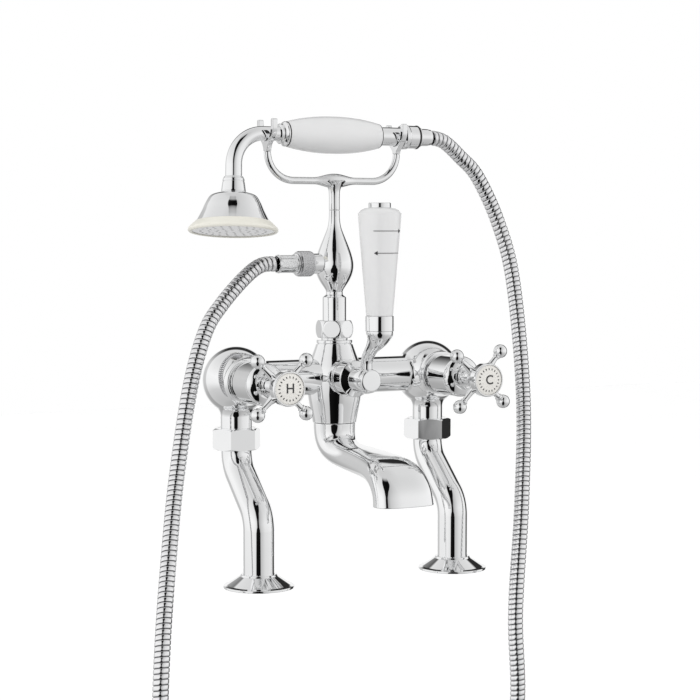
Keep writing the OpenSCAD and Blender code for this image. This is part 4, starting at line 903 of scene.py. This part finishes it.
# Spout: a hollow brass casting that screws under the centre body, turns forward, widens and turns its
# mouth down.
SPOUT_WALL = 2.4
SPOUT_SIDES = 72
LIP_EASE = 0.5
LIP_EDGE_ANGLE = 50

low, high = box_mm("spout")
reach = high.y - low.y
drop = high.z - low.z
# Along the spout: its upper line and its lower line, each as the distance in front of its back and
# below its top, half of its width, and how square its section is
spout_stations = [
    (35.5, 0, 0, 0, 17.75, 2.0),
    (35.1, 5, 0.3, 5, 17.6, 2.0),
    (35.2, 9.4, 1.6, 13, 17.3, 2.0),
    (37.2, 12.4, 6, 22, 16.8, 2.05),
    (42, 13.9, 14, 29.4, 16.2, 2.1),
    (50, 14.6, 27, 34.2, 15.6, 2.2),
    (66, 15.6, 46, 36.6, 15.5, 2.35),
    (84, 16.6, 68, 38, 17, 2.5),
    (102, 18.2, 90, 39, 19.6, 2.65),
    (118, 20.8, 104, 40.2, 22, 2.75),
    (131, 26.5, 113, 42.6, 23.6, 2.85),
    (139.6, 34.4, 118, 46, 24.4, 2.8),
    (reach - 3.2, 42.5, 120.6, 49.6, 24.8, 2.75),
    (reach - 1.4, 49.5, 121.6, 52.8, 25.1, 2.72),
    (reach, drop, 122, drop, 25.5, 2.7)]
spout = loft("spout_casting", [(high.y - a, high.z - b, high.y - c, high.z - d, width, squareness)
                               for a, b, c, d, width, squareness in spout_stations], SPOUT_SIDES, 2.5)
modify(spout, "SMOOTH", factor=0.5, iterations=4)
modify(spout, "SOLIDIFY", thickness=SPOUT_WALL * MM, offset=-1)
ease_edges(spout, LIP_EASE, LIP_EDGE_ANGLE)
polish(spout, CAST_ANGLE)
fit_piece(spout, "mixer", "spout")


# Riser: a hexagon nut with its faces turned round clamps a turned column onto the centre body. Its
# edges are buffed soft.
RISER_GRAIN = 0.4
COLUMN_RADIUS = 10
COLUMN_BORE = 4.8
TENON_RADIUS = 5.8
RISER_NECK = 7.1


def cast(piece, grain, smoothing):
    """Runs the shells of a piece into one casting with soft fillets."""
    modify(piece, "REMESH", mode="VOXEL", voxel_size=grain * MM, use_smooth_shade=True)
    return modify(piece, "SMOOTH", factor=0.5, iterations=smoothing)


nut = cast(eased_copy("riser_hexagon", "riser_nut"), RISER_GRAIN, 14)
fit_piece(nut, "mixer", "riser_nut")

low, high = box_mm("riser_column")
vase_low, vase_high = box_mm("vase")
shoulder = vase_low.z - low.z
tenon = high.z - low.z
column = lathe("riser_column_tube", rounded([
    (COLUMN_BORE, 0), (11.1, 0), (11.1, 3.3), (COLUMN_RADIUS, 3.3), (COLUMN_RADIUS, shoulder - 4, 1.4),
    (RISER_NECK, shoulder - 1.8, 1.0), (RISER_NECK, shoulder), (TENON_RADIUS, shoulder),
    (TENON_RADIUS, tenon), (COLUMN_BORE, tenon)]), (0, setback, low.z), DECK_UP)
fit_piece(column, "mixer", "riser_column")


# Vase: a hollow brass casting, pear shaped, polished and chromed, with the hose outlet on its hot side.
# It sits on the tenon of the riser column.
OUTLET_RISE = 24
STUB_RADIUS = 8.5
STEM_RADIUS = 4.5
TOWARD_HOT = (-1, 0, 0)

vase_r = vase_high.x
vase_h = vase_high.z - vase_low.z
outline = [(0, 0)]
outline += flowing([
    (RISER_NECK, 0), (RISER_NECK + 0.4, 2), (vase_r * 0.79, 10), (vase_r * 0.965, 17), (vase_r, OUTLET_RISE),
    (vase_r * 0.9, 31.5), (vase_r * 0.74, 38.6), (vase_r * 0.55, 46), (STEM_RADIUS + 1.3, 54),
    (STEM_RADIUS + 0.2, 61), (STEM_RADIUS, vase_h)], 0.9)
outline += [(0, vase_h)]
pear = lathe("vase_pear", outline, (0, setback, vase_low.z), DECK_UP)
outlet_z = vase_low.z + OUTLET_RISE
stub_end = -box_mm("outlet_nut")[1].x - 0.1
stub = lathe("vase_outlet", rounded([(0, 8), (STUB_RADIUS, 8), (STUB_RADIUS, stub_end, 0.3), (0, stub_end)]),
             (0, setback, outlet_z), TOWARD_HOT)
fit_piece(join("vase_casting", [pear, stub]), "mixer", "vase")


# Cradle: a brass casting of a stem, a bar with a soft swelling above the stem, and two arms that turn
# up to the forks.
BAR_RADIUS = 3.05
SWELL_REACH = 19
SWELL_HEIGHT = 3.1
ARM_RADIUS = 23.5
CAST_GRAIN = 0.55


def bent_rod(name, line, radii):
    """Round rod along a line, with its own radius at each point."""
    bpy.ops.curve.primitive_nurbs_path_add(location=(0, 0, 0))
    rod = bpy.context.object
    rod.name = name
    rod.data.splines.clear()
    spline = rod.data.splines.new("POLY")
    spline.points.add(len(line) - 1)
    for point, place, radius in zip(spline.points, line, radii):
        point.co = (*(Vector(place) * MM), 1)
        point.radius = radius
    rod.data.bevel_depth = MM
    rod.data.bevel_resolution = 14
    rod.data.use_fill_caps = True
    bpy.ops.object.convert(target="MESH")
    close_mesh()
    bpy.ops.object.shade_smooth_by_angle(angle=math.radians(CAST_ANGLE))
    return bpy.context.object


arm_top = box_mm("cradle")[1].z
bar_z = arm_top - ARM_RADIUS
front_bend = middle_mm("front_fork").x + ARM_RADIUS
rear_bend = middle_mm("rear_fork").x - ARM_RADIUS
bar_line = arc((front_bend, arm_top), ARM_RADIUS, 180, 270, 30)
bar_line += [Vector((x, bar_z)) for x in np.linspace(front_bend + 1, rear_bend - 1, 80)]
bar_line += arc((rear_bend, arm_top), ARM_RADIUS, 270, 360, 30)
bar_radii = [BAR_RADIUS + SWELL_HEIGHT * max(0, 1 - (x / SWELL_REACH) ** 2) ** 2 * (z < bar_z + 1)
             for x, z in bar_line]
bar = bent_rod("cradle_bar", [(x, setback, z) for x, z in bar_line], bar_radii)
stem_foot = vase_high.z
rise = bar_z - stem_foot
outline = [(0, 0)]
outline += flowing([
    (STEM_RADIUS + 0.12, 0), (STEM_RADIUS + 0.1, rise * 0.45), (STEM_RADIUS + 0.6, rise * 0.7),
    (STEM_RADIUS + 2.6, rise * 0.88), (STEM_RADIUS + 5.2, rise)], 0.8)
outline += [(0, rise)]
stem = lathe("cradle_stem", outline, (0, setback, stem_foot), DECK_UP, steps=64)
fit_piece(cast(join("cradle_casting", [bar, stem]), CAST_GRAIN, 10), "mixer", "cradle")


# Forks: brass castings of a wishbone shape, filed and chromed, whose feet are brazed onto the arms.
# The handset's neck lies in the front one, and its sleeve in the rear one.
TUBE_RADIUS = 5.9
SLEEVE_RADIUS = 7.8
FORK_REACH = 15
FORK_GAP = 11
FORK_PLAY = 0.3
FORK_EASE = 0.6
FORK_EDGE_ANGLE = 50


def plate(name, outline, seat, thickness):
    """Flat plate across X, from an outline of (y, z) points about a seat."""
    start = Vector(seat) - Vector((thickness / 2, 0, 0))
    piece = draw_line(name, [start + Vector((0, *p)) for p in outline + outline[:1]])
    bpy.ops.mesh.remove_doubles(threshold=SEAM * MM)
    bpy.ops.mesh.edge_face_add()
    pull((thickness, 0, 0))
    close_mesh()
    return piece


handset_z = middle_mm("handset_grip").z
for fork, held_r in (("front_fork", TUBE_RADIUS), ("rear_fork", SLEEVE_RADIUS)):
    low, high = box_mm(fork)
    foot = low.z - handset_z
    tip = high.z - handset_z
    gap_z = FORK_GAP - held_r - FORK_PLAY
    crotch = gap_z - FORK_GAP
    half = flowing([
        (3.1, foot), (3.5, foot + 2.2), (5.5, crotch - 2.2), (9.5, crotch + 1.4), (13, crotch + 5),
        (14.7, crotch + 9), (FORK_REACH, crotch + 12.4)], 1.2)
    half += rounded([(FORK_REACH, tip - 2.4), (FORK_REACH, tip, 1.4), (FORK_GAP, tip, 1.4),
                     (FORK_GAP, gap_z)])
    half += arc((0, gap_z), FORK_GAP, 0, -90)[1:]
    yoke = plate(f"{fork}_yoke", half + [Vector((-p.x, p.y)) for p in half[-2::-1]],
                 ((low.x + high.x) / 2, setback, handset_z), high.x - low.x)
    ease_edges(yoke, FORK_EASE, FORK_EDGE_ANGLE)
    polish(yoke)
    fit_piece(yoke, "mixer", fork)


# Hose ends: turned swivel nuts that clamp the hose, with a ferrule crimped on each end. The nut at the
# outlet has a fine straight knurl, and its ferrule is fluted.
TOWARD_COLD = (1, 0, 0)
KNURL_COUNT = 54
KNURL_DEPTH = 0.35
FLUTE_COUNT = 8
FLUTE_DEPTH = 0.5
FLUTE_REACH = 2.5
FERRULE_BORE = 5.2
OUTLET_FIT = 8.0
TAIL_FIT = 8.2


def flute(piece, seat, axis, count, depth, start, end):
    """Presses even flutes into the outside of a turned piece between two heights."""
    axis = Vector(axis)
    across = axis.orthogonal().normalized()
    third = axis.cross(across)
    widest = 0
    for vertex in piece.data.vertices:
        offset = vertex.co / MM - Vector(seat)
        widest = max(widest, (offset - axis * offset.dot(axis)).length)
    for vertex in piece.data.vertices:
        offset = vertex.co / MM - Vector(seat)
        height = offset.dot(axis)
        out = offset - axis * height
        radius = out.length
        if start < height < end and radius > widest - FLUTE_REACH:
            angle = math.atan2(offset.dot(third), offset.dot(across))
            press = depth * (0.5 + 0.5 * math.cos(count * angle))
            vertex.co = (Vector(seat) + axis * height + out * (1 - press / radius)) * MM
    polish(piece)


low, high = box_mm("outlet_nut")
seat = (high.x, setback, outlet_z)
nut_r = (high.y - low.y) / 2
nut_len = high.x - low.x
hose_r = HOSE_WIDTH / 2
nut = lathe("outlet_swivel_nut", rounded([
    (OUTLET_FIT, 0), (nut_r - 0.4, 0, 0.5), (nut_r, 1.2, 0.4), (nut_r, 1.8), (nut_r, 3), (nut_r, nut_len - 2),
    (nut_r, nut_len - 1.4, 0.4), (nut_r - 0.6, nut_len, 0.5), (hose_r + 0.6, nut_len),
    (hose_r + 0.6, nut_len - 1.5), (OUTLET_FIT, nut_len - 1.6)]), seat, TOWARD_HOT, steps=216)
flute(nut, seat, TOWARD_HOT, KNURL_COUNT, KNURL_DEPTH, 1.6, nut_len - 1.6)
satin_chrome = mottled("satin_chrome", (0.62, 0.62, 0.63), (0.76, 0.76, 0.77), (0.22, 0.34), 700.0,
                       Metallic=1.0)
fit_piece(nut, "mixer", "outlet_nut", material=satin_chrome)

end = seat[0] - box_mm("outlet_ferrule")[0].x
crimp = hose_r + 1.3
ferrule = lathe("outlet_hose_ferrule", rounded([
    (FERRULE_BORE, 9), (hose_r + 0.4, 9), (hose_r + 0.4, nut_len + 0.2), (crimp + 0.8, nut_len + 0.2, 0.2),
    (crimp + 0.8, nut_len + 1.3, 0.3), (crimp - 0.7, nut_len + 1.6, 0.1), (crimp - 0.7, nut_len + 2.6, 0.1),
    (crimp, nut_len + 3, 0.3), (crimp, nut_len + 3.4), (crimp, end - 2.2), (crimp, end - 1.6, 0.3),
    (crimp - 0.5, end - 1.2, 0.2), (crimp - 0.2, end - 0.6, 0.3), (crimp - 0.4, end, 0.3),
    (hose_r + 0.1, end), (hose_r + 0.1, end - 6), (FERRULE_BORE, end - 6)]), seat, TOWARD_HOT, steps=128)
flute(ferrule, seat, TOWARD_HOT, FLUTE_COUNT, FLUTE_DEPTH, nut_len + 3.3, end - 2)
fit_piece(ferrule, "mixer", "outlet_ferrule")

low, high = box_mm("handset_nut")
seat = (low.x, setback, handset_z)
nut_r = (high.y - low.y) / 2
nut_len = high.x - low.x
nut = lathe("handset_swivel_nut", rounded([
    (TAIL_FIT, 0), (nut_r - 0.9, 0, 0.6), (nut_r, 1.6, 0.9), (nut_r, 4.6, 0.9), (nut_r - 0.7, 5.8, 0.6),
    (nut_r - 0.75, nut_len - 1, 0.5), (nut_r - 1.5, nut_len, 0.3), (hose_r + 0.6, nut_len),
    (hose_r + 0.6, nut_len - 1.5), (TAIL_FIT, nut_len - 1.6)]), seat, TOWARD_COLD)
fit_piece(nut, "handset", "handset_nut")

end = box_mm("handset_ferrule")[1].x - seat[0]
ferrule = lathe("handset_hose_ferrule", rounded([
    (FERRULE_BORE, 10.5), (hose_r + 0.4, 10.5), (hose_r + 0.4, nut_len + 0.3),
    (hose_r + 1.7, nut_len + 0.3, 0.3), (hose_r + 2.1, nut_len + 1, 0.3), (hose_r + 2.0, nut_len + 3.2, 0.5),
    (hose_r + 1.1, nut_len + 3.8, 0.3), (hose_r + 0.9, end - 3, 1.0), (hose_r + 0.4, end, 0.2),
    (hose_r + 0.1, end), (hose_r + 0.1, end - 6), (FERRULE_BORE, end - 6)]), seat, TOWARD_COLD)
fit_piece(ferrule, "handset", "handset_ferrule")
seal = lathe("handset_seal_ring", rounded([
    (hose_r + 0.6, nut_len - 0.4), (nut_r - 0.5, nut_len - 0.4, 0.3), (nut_r - 0.5, nut_len + 0.8, 0.3),
    (hose_r + 0.6, nut_len + 0.8)]), seat, TOWARD_COLD)
fit_piece(seal, "handset", material=rubber, slot="rubber")


# Handset grip: a barrel of glazed ceramic on the tail's inner tube, between the chromed sleeve and a
# dished ring.
BARREL_POWER = 2.2
BARREL_END = 10.3
WASHER = 0.5
TAIL_BORE = 4.3
TAIL_SPIGOT = 7
GRIP_BORE = TUBE_RADIUS + 0.1

grip_low, grip_high = box_mm("handset_grip")
grip_len = grip_high.x - grip_low.x
grip_r = (grip_high.y - grip_low.y) / 2
tube_end = -grip_len - 3.3
sleeve_end = seat[0] - grip_high.x
tail = lathe("handset_tail_sleeve", rounded([
    (TAIL_BORE, tube_end), (TUBE_RADIUS, tube_end), (TUBE_RADIUS, 0), (SLEEVE_RADIUS + 1.6, 0.05, 0.3),
    (SLEEVE_RADIUS + 1.6, 1.1, 0.4), (SLEEVE_RADIUS, 1.5, 0.4), (SLEEVE_RADIUS, sleeve_end, 0.3),
    (TAIL_SPIGOT, sleeve_end), (TAIL_SPIGOT, sleeve_end + 9), (TAIL_BORE, sleeve_end + 9)]),
    (grip_high.x, setback, handset_z), TOWARD_COLD)
fit_piece(tail, "handset", "handset_tail")
barrel = [(BARREL_END + (grip_r - BARREL_END) * (1 - abs(s) ** BARREL_POWER), grip_len / 2 * (1 + s))
          for s in np.linspace(-0.98, 0.98, 60)]
outline = rounded([(GRIP_BORE, WASHER), (BARREL_END - 0.2, WASHER, 0.2), barrel[0]]) + barrel[1:-1]
outline += rounded([barrel[-1], (BARREL_END - 0.2, grip_len - WASHER, 0.2), (GRIP_BORE, grip_len - WASHER)])
grip = lathe("handset_grip_ceramic", outline, (grip_low.x, setback, handset_z), TOWARD_COLD)
fit_piece(grip, "handset", "handset_grip", material=glazed, slot="white_ceramic")
for place, start in (("front", grip_low.x), ("rear", grip_high.x - WASHER)):
    washer = lathe(f"grip_washer_{place}", rounded([
        (GRIP_BORE, 0), (BARREL_END, 0, 0.1), (BARREL_END, WASHER, 0.1), (GRIP_BORE, WASHER)]),
        (start, setback, handset_z), TOWARD_COLD)
    fit_piece(washer, "handset", material=rubber, slot="rubber")

low, high = box_mm("grip_ring")
ring_len = high.x - low.x
ring = lathe("handset_dished_ring", rounded([
    (GRIP_BORE, 0), (BARREL_END - 2.8, 0, 0.4), (BARREL_END - 2.0, 0.6, 0.4), (BARREL_END - 2.0, 1.7, 0.4),
    (BARREL_END - 3.0, 2.2, 0.4), (BARREL_END - 2.4, 3.4, 1.2), (BARREL_END - 0.3, ring_len - 2.1, 0.4),
    (BARREL_END, ring_len - 1.6, 0.3), (BARREL_END, ring_len - 0.5, 0.4), (BARREL_END - 0.5, ring_len, 0.2),
    (GRIP_BORE, ring_len)]), (low.x, setback, handset_z), TOWARD_COLD)
fit_piece(ring, "handset", "grip_ring")


# Swan neck: a chromed brass tube that widens a little and bends down to the rose. The handset lies a
# little rolled in its forks.
HANDSET_ROLL = -7
NECK_BEND_START = -65
NECK_RADIUS = 28
NECK_ANGLE = 86
NECK_DROP = 14
NECK_TENON = 6.4
NECK_FOOT_RADIUS = 7
STRAIGHT_STEPS = 11

handset_roll = Matrix.Rotation(math.radians(HANDSET_ROLL), 4, "X")
handset_frame = Matrix.Translation((0, setback, handset_z)) @ handset_roll
neck_bend = arc((NECK_BEND_START, -NECK_RADIUS), NECK_RADIUS, 90, 90 + NECK_ANGLE, 47)
bend_end = Matrix.Translation((neck_bend[-1].x, 0, neck_bend[-1].y))
rose_tilt = Matrix.Rotation(math.radians(90 - NECK_ANGLE), 4, "Y")
rose_frame = handset_frame @ bend_end @ rose_tilt @ Matrix.Translation((0, 0, -NECK_DROP))
rose_seat = rose_frame.translation
rose_up = (rose_frame.to_3x3() @ Vector((0, 0, 1))).normalized()
neck_start = box_mm("handset_neck")[1].x
neck_line = [Vector((x, 0)) for x in np.linspace(neck_start, NECK_BEND_START, STRAIGHT_STEPS + 1)]
neck_line = [handset_frame @ Vector((p.x, 0, p.y)) for p in neck_line + neck_bend[1:]]
neck_line += [rose_seat + rose_up * h for h in np.linspace(NECK_DROP, -NECK_TENON, 10)[1:]]
widening = np.linspace(0, NECK_FOOT_RADIUS - TUBE_RADIUS, len(neck_line) - STRAIGHT_STEPS)
neck_radii = [TUBE_RADIUS] * STRAIGHT_STEPS + [TUBE_RADIUS + w for w in widening]
neck = bent_rod("swan_neck_tube", neck_line, neck_radii)
polish(neck, CAST_ANGLE)
fit_piece(neck, "handset", "handset_neck")


# Rose: a spun brass bell under a turned nut, both chromed, with an ivory plastic rim that holds the
# perforated steel face. The nut screws onto the swan neck.
NUT_HEIGHT = 9.2
NUT_COLLAR = 4.2
NUT_RADIUS = 10.2
NECK_SEAT = 2.7
ROSE_BORE = 4.4
BELL_HEIGHT = 23
BELL_RADIUS = 30.2
BELL_WALL = 1.5
RIM_RADIUS = 36.4
RIM_HEIGHT = 8.5
RIM_BORE = 27
FACE_RADIUS = 33
FACE_POCKET = 2.6

nut_foot = rose_seat - rose_up * NUT_HEIGHT
nut_top = NUT_HEIGHT + NUT_COLLAR
nut = lathe("rose_cap_nut", rounded([
    (ROSE_BORE, 0), (NUT_RADIUS - 0.2, 0, 0.3), (NUT_RADIUS + 0.3, 0.8, 0.3), (NUT_RADIUS, 1.6, 0.2),
    (NUT_RADIUS - 1, NUT_HEIGHT - 0.4, 0.2), (NUT_RADIUS - 1.5, NUT_HEIGHT - 0.2, 0.1),
    (NUT_RADIUS - 1.5, NUT_HEIGHT + 0.2, 0.1), (NUT_RADIUS - 1.1, NUT_HEIGHT + 0.4, 0.3),
    (NUT_RADIUS - 1.3, NUT_HEIGHT + 2.1, 0.9), (NECK_FOOT_RADIUS + 0.8, nut_top, 0.5),
    (NECK_FOOT_RADIUS + 0.1, nut_top), (NECK_FOOT_RADIUS + 0.1, NECK_SEAT), (ROSE_BORE, NECK_SEAT)]),
    nut_foot, rose_up)
fit_piece(nut, "handset", "rose_nut")

bell_outside = flowing([
    (NUT_RADIUS + 1, 0), (14, -0.3), (19.2, -2.5), (22.7, -8), (25.5, -14.2), (28.2, -19.4),
    (BELL_RADIUS, -BELL_HEIGHT)], 0.7)
outline = [(ROSE_BORE, 0)] + bell_outside + [(BELL_RADIUS - BELL_WALL, -BELL_HEIGHT)]
outline += [p - Vector((BELL_WALL, BELL_WALL)) for p in bell_outside[-3::-1]]
outline += [(ROSE_BORE, -BELL_WALL)]
fit_piece(lathe("rose_bell_shell", outline, nut_foot, rose_up), "handset", "rose_bell")

rim_seat = nut_foot - rose_up * BELL_HEIGHT
ivory = mottled("ivory_rim", (0.80, 0.78, 0.70), (0.85, 0.835, 0.76), (0.3, 0.42), 120.0)
outline = [(RIM_BORE, 0), (BELL_RADIUS, 0)]
outline += flowing([
    (BELL_RADIUS + 0.6, -0.4), (33.6, -RIM_HEIGHT * 0.36), (RIM_RADIUS - 0.5, -RIM_HEIGHT * 0.64),
    (RIM_RADIUS, -RIM_HEIGHT * 0.8), (RIM_RADIUS - 0.3, -RIM_HEIGHT * 0.92),
    (RIM_RADIUS - 1, -RIM_HEIGHT)], 0.5)
outline += rounded([
    (RIM_RADIUS - 1.2, -RIM_HEIGHT), (FACE_RADIUS + 0.1, -RIM_HEIGHT, 0.2),
    (FACE_RADIUS + 0.1, -RIM_HEIGHT + FACE_POCKET), (RIM_BORE, -RIM_HEIGHT + FACE_POCKET)])
rim = lathe("rose_ivory_rim", outline, rim_seat, rose_up)
fit_piece(rim, "handset", "rose_rim", material=ivory, slot="ivory_rim")
spray_steel = mottled("spray_steel", (0.66, 0.66, 0.67), (0.80, 0.80, 0.81), (0.12, 0.24), 260.0, bump=0.05,
                      Metallic=1.0)
finish_nodes(spray_steel, "rose_face")
